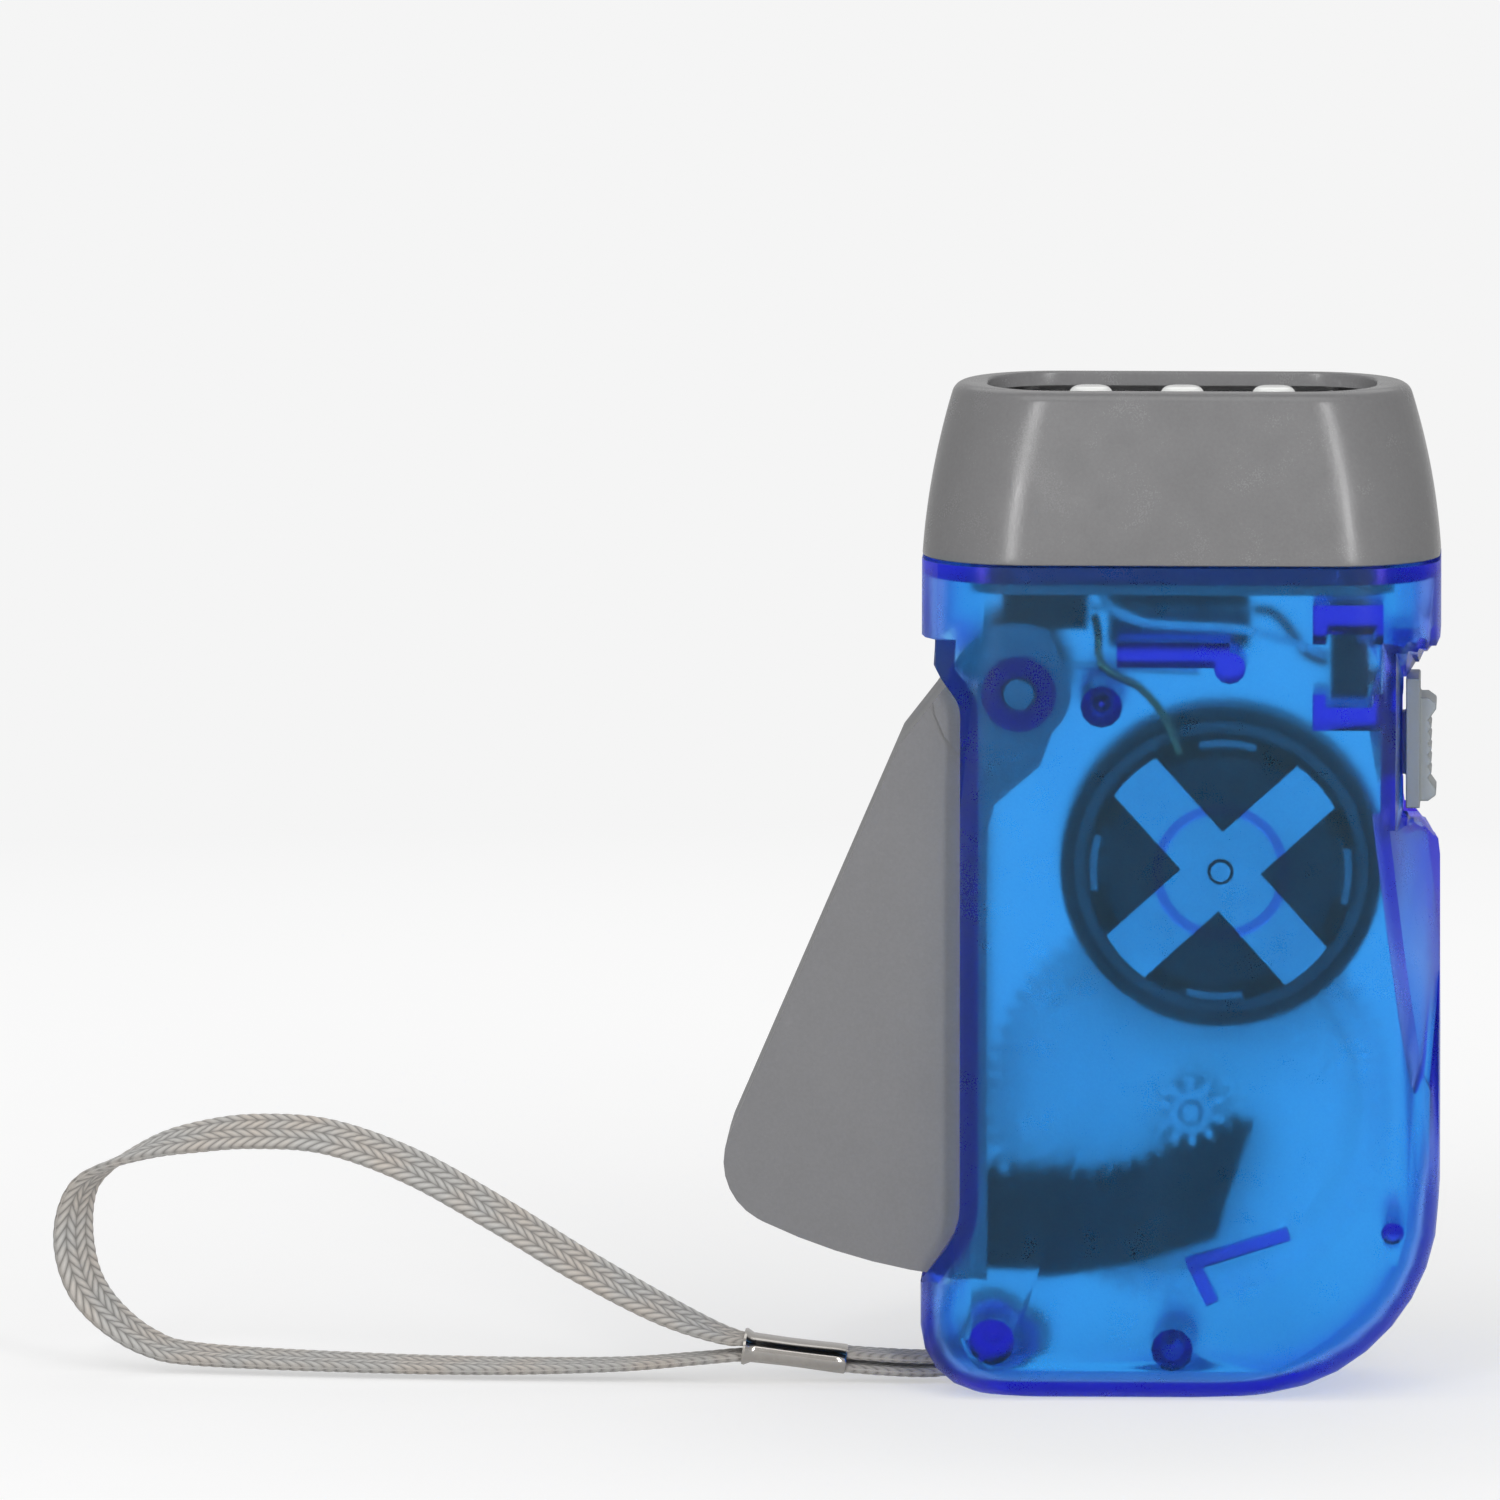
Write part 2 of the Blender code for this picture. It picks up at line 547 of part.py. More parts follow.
# Routes of the wires inside the case
SWITCH_WIRE_ROUTE = (
    (-0.0084, -0.0050, 0.0822),
    (-0.0081, -0.0053, 0.0805),
    (-0.0071, -0.0060, 0.0787),
    (-0.0040, -0.0066, 0.0772),
    (0.0010, -0.0066, 0.0768),
    (0.0065, -0.0064, 0.0764),
    (0.0108, -0.0055, 0.0751),
    (0.01435, -0.0042, 0.0737),
)
BATTERY_LEAD_ROUTE = (
    (0.0071, 0.0000, 0.0777),
    (0.0090, -0.0002, 0.0774),
    (0.0108, -0.0006, 0.0755),
    (0.0122, -0.0010, 0.0735),
    (0.01435, -0.0012, 0.0725),
)
COIL_LEAD_ROUTE = (
    (0.0000, -0.0080, 0.0643),
    (-0.0009, -0.0082, 0.0668),
    (-0.0023, -0.0083, 0.0692),
    (-0.0043, -0.0083, 0.0712),
    (-0.0066, -0.0081, 0.0722),
    (-0.0080, -0.0076, 0.0736),
    (-0.0081, -0.0065, 0.0758),
    (-0.0085, -0.0050, 0.0776),
)
COIL_LEAD_SHIFT = 0.0012
COIL_LEAD_RUN = 0.0041
COIL_LEAD_DEPTH = 0.0010
WIRE_END_GAP = 0.0004
WIRE_SIDE_INSET = 0.0005
WIRE_TOP_DROP = 0.0011
WIRE_RUN = 0.00085
SWITCH_WIRE_DEPTH = 0.0013
SWITCH_WIRE_RISE = 0.0041
BATTERY_LEAD_GAP = 0.00035
BATTERY_LEAD_DEPTH = 0.0043
BATTERY_LEAD_RISE = 0.0029
LEAD_RUN = 0.00075
LEAD_RISE = 0.0013
WIRE_POINTS = 14


# Outlines and meshes
def arc(centre, radius, start, end, steps):
    """Points on an arc in the XZ plane, from the start angle to the end angle."""
    points = []
    for step in range(steps + 1):
        angle = start + (end - start) * step / steps
        points.append((centre[0] + radius * math.cos(angle), centre[1] + radius * math.sin(angle)))
    return points


def circle(radius, steps, centre=(0, 0)):
    """Closed circle in the XZ plane."""
    return arc(centre, radius, 0, math.tau * (steps - 1) / steps, steps - 1)


def rounded(corners):
    """Outline whose corners, each (x, z, radius), are turned into arcs."""
    outline = []
    count = len(corners)
    for index, (x, z, radius) in enumerate(corners):
        here = Vector((x, z))
        back = (Vector(corners[index - 1][:2]) - here).normalized()
        ahead = (Vector(corners[(index + 1) % count][:2]) - here).normalized()
        turn = math.pi - back.angle(ahead)
        if not radius or turn < ARC_STEP / 2:
            outline.append((x, z))
            continue
        reach = radius * math.tan(turn / 2)
        first = here + back * reach
        middle = here + (back + ahead).normalized() * math.hypot(reach, radius)
        side = (first - middle).normalized()
        sign = 1 if back.x * ahead.y - back.y * ahead.x < 0 else -1
        steps = max(2, round(turn / ARC_STEP))
        for step in range(steps + 1):
            swing = sign * turn * step / steps
            spoke = Vector((
                side.x * math.cos(swing) - side.y * math.sin(swing),
                side.x * math.sin(swing) + side.y * math.cos(swing),
            ))
            outline.append(tuple(middle + spoke * radius))
    return outline


def grown(outline, distance):
    """Counter-clockwise outline moved outwards by a distance, inwards if negative."""
    moved = []
    count = len(outline)
    for index in range(count):
        before = Vector(outline[index - 1])
        here = Vector(outline[index])
        after = Vector(outline[(index + 1) % count])
        first = (here - before).normalized()
        second = (after - here).normalized()
        normal_first = Vector((first.y, -first.x))
        normal_second = Vector((second.y, -second.x))
        miter = (normal_first + normal_second) / (1 + normal_first.dot(normal_second))
        moved.append(tuple(here + miter * distance))
    return moved


def finished(mesh):
    """Mesh data made from a bmesh, with its faces turned outwards."""
    bmesh.ops.recalc_face_normals(mesh, faces=mesh.faces)
    data = bpy.data.meshes.new("shape")
    mesh.to_mesh(data)
    mesh.free()
    return data


def skin(loops, ring=False):
    """Closed body through equal loops of points: capped at its ends, or joined into a ring."""
    mesh = bmesh.new()
    rows = [[mesh.verts.new(point) for point in loop] for loop in loops]
    count = len(rows[0])
    pairs = list(zip(rows, rows[1:]))
    if ring:
        pairs.append((rows[-1], rows[0]))
    else:
        mesh.faces.new(rows[0])
        mesh.faces.new(rows[-1])
    for low, high in pairs:
        for index in range(count):
            other = (index + 1) % count
            mesh.faces.new((low[index], low[other], high[other], high[index]))
    return finished(mesh)


def triangulated(data):
    """Mesh data whose faces are all triangles, for a body with twisted sides."""
    mesh = bmesh.new()
    mesh.from_mesh(data)
    bmesh.ops.triangulate(mesh, faces=mesh.faces)
    mesh.to_mesh(data)
    mesh.free()
    return data


def prism(outline, front, back):
    """Outline in the XZ plane, extruded from one Y to another."""
    return skin([[(x, front, z) for x, z in outline], [(x, back, z) for x, z in outline]])


def box(left, right, front, back, base, top):
    """Box between six planes."""
    return prism(((left, base), (right, base), (right, top), (left, top)), front, back)


def cylinder(radius, front, back, steps, centre=(0, 0)):
    """Round bar along Y."""
    return prism(circle(radius, steps, centre), front, back)


def turned(stations, steps, ring=False):
    """Body turned about Y through stations of (radius, y)."""
    return skin([[(x, y, z) for x, z in circle(radius, steps)] for radius, y in stations], ring)


def turned_upright(stations, steps, ring=False):
    """Body turned about Z through stations of (radius, z)."""
    return skin([[(x, y, z) for x, y in circle(radius, steps)] for radius, z in stations], ring)


def rounded_rectangle(left, right, half_depth, radius, level):
    """Horizontal loop with round corners, counter-clockwise from above."""
    points = []
    corners = (
        (right - radius, half_depth - radius, 0),
        (left + radius, half_depth - radius, 1),
        (left + radius, radius - half_depth, 2),
        (right - radius, radius - half_depth, 3),
    )
    for x, y, quarter in corners:
        for step in range(CORNER_STEPS + 1):
            angle = math.pi / 2 * (quarter + step / CORNER_STEPS)
            points.append((x + radius * math.cos(angle), y + radius * math.sin(angle), level))
    return points


def hull(points):
    """Convex body around a few points."""
    mesh = bmesh.new()
    for point in points:
        mesh.verts.new(point)
    bmesh.ops.convex_hull(mesh, input=mesh.verts)
    return finished(mesh)


def smooth_route(route, count, curl=0):
    """Points along a smooth curve through a route's own points, closer where it curls."""
    nodes = np.array(route, dtype=float)
    ahead = np.vstack((2 * nodes[0] - nodes[1], nodes, 2 * nodes[-1] - nodes[-2]))
    fine = []
    for index in range(1, len(nodes)):
        p0, p1, p2, p3 = ahead[index - 1:index + 3]
        for share in np.linspace(0, 1, 16, endpoint=False):
            fine.append(
                0.5 * (
                    2 * p1 + (p2 - p0) * share
                    + (2 * p0 - 5 * p1 + 4 * p2 - p3) * share ** 2
                    + (3 * p1 - p0 - 3 * p2 + p3) * share ** 3
                )
            )
    fine.append(nodes[-1])
    fine = np.array(fine)
    steps = np.diff(fine[:, :3], axis=0)
    runs = np.linalg.norm(steps, axis=1)
    ahead = steps / runs[:, None]
    turns = np.arccos(np.clip(np.sum(ahead[1:] * ahead[:-1], axis=1), -1, 1))
    runs += curl * np.concatenate((turns, [0]))
    along = np.concatenate(([0], np.cumsum(runs)))
    wanted = np.linspace(0, along[-1], count)
    return np.column_stack([np.interp(wanted, along, column) for column in fine.T])


def fitted(route, first, last):
    """Route whose two ends are moved to given points, the rest following in proportion."""
    points = np.array(route, dtype=float)
    share = np.linspace(0, 1, len(points))[:, None]
    return points + (np.array(first) - points[0]) * (1 - share) + (np.array(last) - points[-1]) * share


# Objects
def clear_scene():
    """Remove what the scene holds."""
    for item in list(bpy.data.objects):
        bpy.data.objects.remove(item)


def plain_material(name, colour, roughness, metallic=0.0, transmission=0.0):
    """Principled material of one colour."""
    material = bpy.data.materials.new(name)
    material.use_nodes = True
    shader = material.node_tree.nodes["Principled BSDF"]
    shader.inputs["Base Color"].default_value = (*colour, 1.0)
    shader.inputs["Roughness"].default_value = roughness
    shader.inputs["Metallic"].default_value = metallic
    shader.inputs["Transmission Weight"].default_value = transmission
    material.diffuse_color = (*colour, 1.0)
    return material


def place(name, data, material, parent, location=(0, 0, 0)):
    """Named object for a piece, hung on its parent."""
    data.name = name
    item = bpy.data.objects.new(name, data)
    bpy.context.scene.collection.objects.link(item)
    item.location = location
    item.parent = parent
    data.materials.clear()
    data.materials.append(material)
    return item


def empty(name, location, parent=None):
    """Empty that carries the pieces of one moving group."""
    item = bpy.data.objects.new(name, None)
    bpy.context.scene.collection.objects.link(item)
    item.location = location
    item.parent = parent
    return item


def boolean(data, tools, operation):
    """Mesh data after joining, cutting or crossing it with each tool."""
    scene = bpy.context.scene
    target = bpy.data.objects.new("target", data)
    scene.collection.objects.link(target)
    helpers = []
    for tool in tools:
        helper = bpy.data.objects.new("tool", tool)
        helper.hide_render = True
        helper.display_type = "WIRE"
        scene.collection.objects.link(helper)
        helpers.append(helper)
        modifier = target.modifiers.new("boolean", "BOOLEAN")
        modifier.operation = operation
        modifier.object = helper
    graph = bpy.context.evaluated_depsgraph_get()
    result = bpy.data.meshes.new_from_object(target.evaluated_get(graph))
    for item in (target, *helpers):
        bpy.data.objects.remove(item)
    return cleaned(result)


def cleaned(data):
    """Mesh data with its flat runs of faces joined."""
    mesh = bmesh.new()
    mesh.from_mesh(data)
    bmesh.ops.remove_doubles(mesh, verts=mesh.verts, dist=WELD_DISTANCE)
    bmesh.ops.dissolve_limit(mesh, angle_limit=FLAT_ANGLE, verts=mesh.verts, edges=mesh.edges)
    mesh.to_mesh(data)
    mesh.free()
    return data


def joined(data, *tools):
    """Union of bodies."""
    return boolean(data, tools, "UNION")


def cut(data, *tools):
    """Body with tools cut away."""
    return boolean(data, tools, "DIFFERENCE")


def crossed(data, *tools):
    """What bodies have in common."""
    return boolean(data, tools, "INTERSECT")


def smoothed(item):
    """Shade an object smooth, with its sharp edges kept."""
    item.data.shade_smooth()
    item.data.set_sharp_from_angle(angle=SMOOTH_ANGLE)
    return item


def tube(name, points, radius, material, parent, resolution=1, half_width=0, tilts=None):
    """Curve object along points, round or, with a half width, a flat band."""
    curve = bpy.data.curves.new(name, "CURVE")
    curve.dimensions = "3D"
    curve.twist_mode = "Z_UP"
    curve.bevel_depth = radius
    curve.bevel_resolution = resolution
    curve.extrude = half_width
    curve.use_fill_caps = True
    spline = curve.splines.new("POLY")
    spline.points.add(len(points) - 1)
    for index, point in enumerate(points):
        spline.points[index].co = (*point, 1)
        if tilts is not None:
            spline.points[index].tilt = tilts[index]
    return place(name, curve, material, parent)



# Gears
def involute(angle):
    """Involute function of a pressure angle."""
    return math.tan(angle) - angle


def flank_half_angle(radius, teeth):
    """Half the angle of an outer tooth at a radius."""
    pitch = MODULE * teeth / 2
    base = pitch * math.cos(PRESSURE_ANGLE)
    pressure = math.acos(min(1, base / max(radius, base)))
    return TOOTH_SHARE * math.pi / teeth + involute(PRESSURE_ANGLE) - involute(pressure)


def gear_outline(teeth, turn, fine):
    """Outline of an outer gear, with one tooth centred on the turn angle."""
    pitch = MODULE * teeth / 2
    root = pitch - DEDENDUM_SHARE * MODULE
    tip = pitch + ADDENDUM_SHARE * MODULE
    base = max(root, pitch * math.cos(PRESSURE_ANGLE))
    radii = [root, base + (tip - base) * FLANK_MIDDLE_SHARE, tip] if fine else [root, tip]
    points = []
    for tooth in range(teeth):
        centre = turn + math.tau * tooth / teeth
        for radius in radii:
            angle = centre - flank_half_angle(radius, teeth)
            points.append((radius * math.cos(angle), radius * math.sin(angle)))
        for radius in reversed(radii):
            angle = centre + flank_half_angle(radius, teeth)
            points.append((radius * math.cos(angle), radius * math.sin(angle)))
    return points


def sector_outline():
    """Outline of the toothed arc about the lever's pivot: teeth inside, one on the gear's line."""
    root = SECTOR_PITCH + DEDENDUM_SHARE * MODULE
    tip = SECTOR_PITCH - ADDENDUM_SHARE * MODULE
    base = SECTOR_PITCH * math.cos(PRESSURE_ANGLE)
    step = math.tau / SECTOR_TEETH
    down = -math.pi / 2
    points = [(SECTOR_OUTER_RADIUS, down + SECTOR_CORNER_ANGLE)]
    points.append((SECTOR_SHOULDER_RADIUS, down + SECTOR_SHOULDER_ANGLE))
    points.append((root, down + SECTOR_LAST_ANGLE))
    first = math.ceil((SECTOR_FIRST_ANGLE - GEAR_ANGLE) / step)
    last = math.floor((SECTOR_LAST_ANGLE - GEAR_ANGLE) / step - TOOTH_SHARE)
    for tooth in range(last, first - 1, -1):
        centre = down + GEAR_ANGLE + step * tooth
        for side, radii in ((1, (root, tip)), (-1, (tip, root))):
            for radius in radii:
                pressure = math.acos(min(1, base / radius))
                half = TOOTH_SHARE * math.pi / SECTOR_TEETH - involute(PRESSURE_ANGLE) + involute(pressure)
                points.append((radius, centre + side * half))
    far = down + LEVER_TIP_ANGLE
    start = points[-1][1]
    for index in range(1, SECTOR_ROOT_STEPS + 1):
        points.append((root, start + (far - start) * index / SECTOR_ROOT_STEPS))
    end = down + SECTOR_CORNER_ANGLE
    for index in range(SECTOR_BACK_STEPS):
        points.append((SECTOR_OUTER_RADIUS, far + (end - far) * index / SECTOR_BACK_STEPS))
    return [(radius * math.cos(angle), radius * math.sin(angle)) for radius, angle in reversed(points)]


# Case
def case_loop(level, inset):
    """Horizontal loop of the case at a height, drawn in by an inset."""
    rise = level - inset
    left = inset - HALF_WIDTH
    right = HALF_WIDTH - inset
    depth = HALF_DEPTH - inset
    rounds = ((BASE_RADIUS_LEFT, "left"), (BASE_RADIUS_RIGHT, "right"), (BASE_EDGE_RADIUS, "edge"))
    for radius, side in rounds:
        radius = radius - inset
        if rise >= radius:
            continue
        drawn = radius - math.sqrt(max(0, radius ** 2 - (radius - rise) ** 2))
        if side == "left":
            left += drawn
        elif side == "right":
            right -= drawn
        else:
            depth -= drawn
    share = max(0, (level - CASE_HEIGHT + CORNER_BLEND_HEIGHT) / CORNER_BLEND_HEIGHT)
    blend = min(1, share) ** 2 * (3 - 2 * min(1, share))
    corner = CORNER_LOW + (CORNER_TOP - CORNER_LOW) * blend - inset
    return rounded_rectangle(left, right, depth, corner, level)


def case_block(inset):
    """Case as a solid block without its recesses, drawn in by an inset."""
    radius = BASE_RADIUS_RIGHT - inset
    levels = [inset + radius * (1 - math.cos(math.pi / 2 * k / BASE_STEPS)) for k in range(BASE_STEPS + 1)]
    start = CASE_HEIGHT - CORNER_BLEND_HEIGHT
    stop = CASE_HEIGHT - inset
    levels += [start + (stop - start) * k / CORNER_BLEND_STEPS for k in range(CORNER_BLEND_STEPS + 1)]
    return skin([case_loop(level, inset) for level in levels])


def relief_outline():
    """Side profile of what the left side leaves free for the lever."""
    outside = -HALF_WIDTH - OVERRUN
    return rounded((
        (outside, RELIEF_FOOT - OVERRUN, 0),
        (RELIEF_NOSE - HALF_WIDTH, RELIEF_FOOT, 0),
        (RELIEF_SETBACK - HALF_WIDTH, RELIEF_FOOT + RELIEF_FLARE, RELIEF_FLARE_RADIUS),
        (RELIEF_SETBACK - HALF_WIDTH, RELIEF_TOP, WAIST_RADIUS),
        (WAIST_SETBACK - HALF_WIDTH, WAIST_MIDDLE, WAIST_RADIUS),
        (-HALF_WIDTH, WAIST_TOP, 0),
        (outside, WAIST_TOP + WAIST_LEAD, 0),
    ))


def recess_body(inset):
    """Thumb recess: square at the front and back faces, curved at the parting line."""
    height = RECESS_TOP - RECESS_FOOT + RECESS_DIP
    foot = RECESS_FOOT - RECESS_DIP
    outside = HALF_WIDTH + 2 * OVERRUN
    middle = [(outside, RECESS_TOP)]
    for setback, rise in RECESS_EDGE_SHARES:
        middle.append((HALF_WIDTH - GROOVE_SETBACK * setback, foot + height * rise))
    middle.append((HALF_WIDTH, foot))
    middle.append((outside, foot - 2 * OVERRUN))
    inner = HALF_WIDTH - RECESS_SETBACK
    square = []
    for index, (x, z) in enumerate(middle):
        if index <= 5:
            square.append((outside + (inner - outside) * index / 6, RECESS_TOP))
        elif index <= 7:
            square.append((inner, RECESS_TOP if index == 6 else RECESS_FOOT))
        else:
            rest = len(middle) - 1 - index
            square.append((outside + (inner - outside) * rest / (len(middle) - 8), RECESS_FOOT))
    middle = grown(middle, inset)
    square = grown(square, inset)
    far = HALF_DEPTH + OVERRUN
    return triangulated(skin([
        [(x, -far, z) for x, z in square],
        [(x, 0, z) for x, z in middle],
        [(x, far, z) for x, z in square],
    ]))


def groove_body(inset):
    """Groove for the slider, with its wall added by an inset."""
    return box(
        GROOVE_FLOOR - inset, HALF_WIDTH + OVERRUN,
        -GROOVE_HALF - inset, GROOVE_HALF + inset,
        GROOVE_FOOT - inset, GROOVE_TOP + inset,
    )


def facet_body(side, inset):
    """Slanted thumb facet below the recess, on the front (-1) or the back (+1), with its wall."""
    top = RECESS_FOOT
    front = Vector((HALF_WIDTH - FACET_FRONT_SETBACK, side * (HALF_DEPTH - FACET_FRONT_STEP), top))
    flank = Vector((HALF_WIDTH - FACET_SIDE_SETBACK, 0, top))
    apex = Vector((
        HALF_WIDTH - FACET_APEX_SETBACK,
        side * (HALF_DEPTH - FACET_APEX_STEP),
        top - FACET_LENGTH,
    ))
    away = (front - flank).cross(apex - flank).normalized()
    if away.x < 0:
        away.negate()
    centre = (front + flank) / 2 - away * inset
    across = (front - flank) * (1 + FACET_REACH_SHARE)
    upwards = (centre - apex).normalized() * (OVERRUN + inset)
    near = centre + across + upwards
    far = centre - across * FACET_FAR_SHARE + upwards
    low = apex - away * inset + (apex - front / 2 - flank / 2) * FACET_REACH_SHARE
    outwards = Vector((away.x, away.y, 0)) * CASE_WIDTH
    return hull((near, far, low, near + outwards, far + outwards, low + outwards))


def rib(points, thickness, front, back):
    """Straight ribs along a line of points in the XZ plane, joined end to end."""
    bodies = []
    for (x0, z0), (x1, z1) in zip(points, points[1:]):
        run = Vector((x1 - x0, z1 - z0)).normalized()
        side = Vector((-run.y, run.x)) * thickness / 2
        end = run * thickness / 2
        start = Vector((x0, z0)) - end
        stop = Vector((x1, z1)) + end
        outline = [tuple(start - side), tuple(stop - side), tuple(stop + side), tuple(start + side)]
        bodies.append(prism(outline, front, back))
    return bodies


def bracket(low):
    """Fork that holds one end of the slide switch."""
    wall = -INNER_DEPTH - ROOT_DEPTH
    if low:
        base, top = BRACKET_LOW_FOOT, SWITCH_BASE - BRACKET_BAR_GAP
        tip = SWITCH_BASE + BRACKET_HORN
        outline = (
            (BRACKET_LEFT, base),
            (BRACKET_RIGHT, base),
            (BRACKET_RIGHT, tip),
            (SWITCH_RIGHT + FIT_GAP, tip),
            (SWITCH_RIGHT + FIT_GAP, top),
            (SWITCH_LEFT - FIT_GAP, top),
            (SWITCH_LEFT - FIT_GAP, tip),
            (BRACKET_LEFT, tip),
        )
    else:
        base = SWITCH_BASE + SWITCH_LENGTH + BRACKET_BAR_GAP
        tip = base - BRACKET_HORN
        outline = (
            (BRACKET_LEFT, tip),
            (SWITCH_LEFT - FIT_GAP, tip),
            (SWITCH_LEFT - FIT_GAP, base),
            (SWITCH_RIGHT + FIT_GAP, base),
            (SWITCH_RIGHT + FIT_GAP, tip),
            (BRACKET_RIGHT, tip),
            (BRACKET_RIGHT, BRACKET_HIGH_TOP),
            (BRACKET_LEFT, BRACKET_HIGH_TOP),
        )
    return prism(outline, wall, -BRACKET_REACH)


def case_shell():
    """Whole hollow case, before it is split at its parting line."""
    relief = relief_outline()
    far = HALF_DEPTH + OVERRUN
    body = cut(
        case_block(0),
        prism(relief, -far, far),
        recess_body(0),
        groove_body(0),
        facet_body(-1, 0),
        facet_body(1, 0),
    )
    hollow = cut(
        case_block(WALL),
        prism(grown(relief, WALL), -far, far),
        recess_body(RECESS_WALL),
        groove_body(POCKET_WALL),
        facet_body(-1, WALL),
        facet_body(1, WALL),
    )
    rim = CASE_HEIGHT - WALL - OVERRUN
    half = NECK_WIDTH / 2 + FIT_GAP
    collar = skin([
        rounded_rectangle(-half, half, NECK_DEPTH / 2 + FIT_GAP, NECK_RADIUS, level)
        for level in (rim, CASE_HEIGHT + OVERRUN)
    ])
    outside = -HALF_WIDTH - OVERRUN
    inside = RELIEF_SETBACK - HALF_WIDTH + WALL + OVERRUN
    slot = box(outside, inside, -SLOT_HALF, SLOT_HALF, SLOT_FOOT, SLOT_TOP)
    notch = box(outside, NOTCH_END, -NOTCH_HALF, NOTCH_HALF, -OVERRUN, NOTCH_TOP)
    stem = box(
        GROOVE_FLOOR - POCKET_WALL - OVERRUN, HALF_WIDTH,
        -STEM_SLOT_HALF, STEM_SLOT_HALF, STEM_SLOT_FOOT, STEM_SLOT_TOP,
    )
    return cut(body, hollow, collar, slot, notch, stem)


def half_case(shell, side):
    """One half of the case: the front (-1) or the back (+1)."""
    far = HALF_DEPTH + OVERRUN
    near = FIT_GAP / 2
    front, back = (-near, far) if side < 0 else (-far, near)
    other = box(-CASE_WIDTH, CASE_WIDTH, front, back, -OVERRUN, CASE_HEIGHT + OVERRUN)
    return cut(shell.copy(), other)


def front_shell(shell):
    """Front half with its pillars, posts, ribs and bosses."""
    wall = -INNER_DEPTH - ROOT_DEPTH
    seam = -FIT_GAP / 2
    high = (PILLAR_HIGH_X, PILLAR_HIGH_Z)
    low = (PILLAR_LOW_X, PILLAR_LOW_Z)
    corner = (CORNER_RIB_X, CORNER_RIB_Z)
    long_end = (CORNER_RIB_X + CORNER_RIB_LONG_RUN, CORNER_RIB_Z + CORNER_RIB_LONG_RISE)
    short_end = (CORNER_RIB_X + CORNER_RIB_SHORT_RUN, CORNER_RIB_Z - CORNER_RIB_SHORT_DROP)
    ring = turned((
        (RING_RIB_RADIUS - RING_RIB_WIDTH / 2, wall),
        (RING_RIB_RADIUS + RING_RIB_WIDTH / 2, wall),
        (RING_RIB_RADIUS + RING_RIB_WIDTH / 2, FRONT_POLE_FACE - FIT_GAP),
        (RING_RIB_RADIUS - RING_RIB_WIDTH / 2, FRONT_POLE_FACE - FIT_GAP),
    ), ROUND_STEPS, ring=True)
    ring.transform(shift(FLY_X, FLY_Z))
    body = joined(
        half_case(shell, -1),
        cylinder(PILLAR_RADIUS, wall, seam, SMALL_STEPS, high),
        cylinder(PILLAR_RADIUS, wall, seam, SMALL_STEPS, low),
        cylinder(POST_RADIUS, wall, seam, SMALL_STEPS, (POST_X, POST_Z)),
        cylinder(PEG_RADIUS, wall, seam, SMALL_STEPS, (PEG_X, PEG_Z)),
        cylinder(BOSS_RADIUS, wall, -BOSS_FACE, ROUND_STEPS, (PIVOT_X, PIVOT_Z)),
        box(SHELF_LEFT, SHELF_RIGHT, wall, -SHELF_REACH, SHELF_BASE, SHELF_TOP),
        cylinder(SHELF_BUMP_RADIUS, wall, -SHELF_REACH, SMALL_STEPS, (SHELF_RIGHT, SHELF_BASE)),
        *rib((long_end, corner), CORNER_RIB_THICKNESS, wall, CORNER_RIB_HEIGHT - INNER_DEPTH),
        *rib((corner, short_end), CORNER_RIB_THICKNESS, wall, CORNER_RIB_HEIGHT - INNER_DEPTH),
        bracket(True),
        bracket(False),
        ring,
    )
    bore = SCREW_RADIUS + FIT_GAP
    post_bore = POST_PIN_RADIUS + FIT_GAP
    return cut(
        body,
        cylinder(bore, -PILOT_DEPTH, OVERRUN, SMALL_STEPS, high),
        cylinder(bore, -PILOT_DEPTH, OVERRUN, SMALL_STEPS, low),
        cylinder(post_bore, -POST_PIN_LENGTH - FIT_GAP, OVERRUN, SMALL_STEPS, (POST_X, POST_Z)),
        cylinder(PIN_RADIUS + FIT_GAP, -INNER_DEPTH, OVERRUN - BOSS_FACE, SMALL_STEPS, (PIVOT_X, PIVOT_Z)),
    )


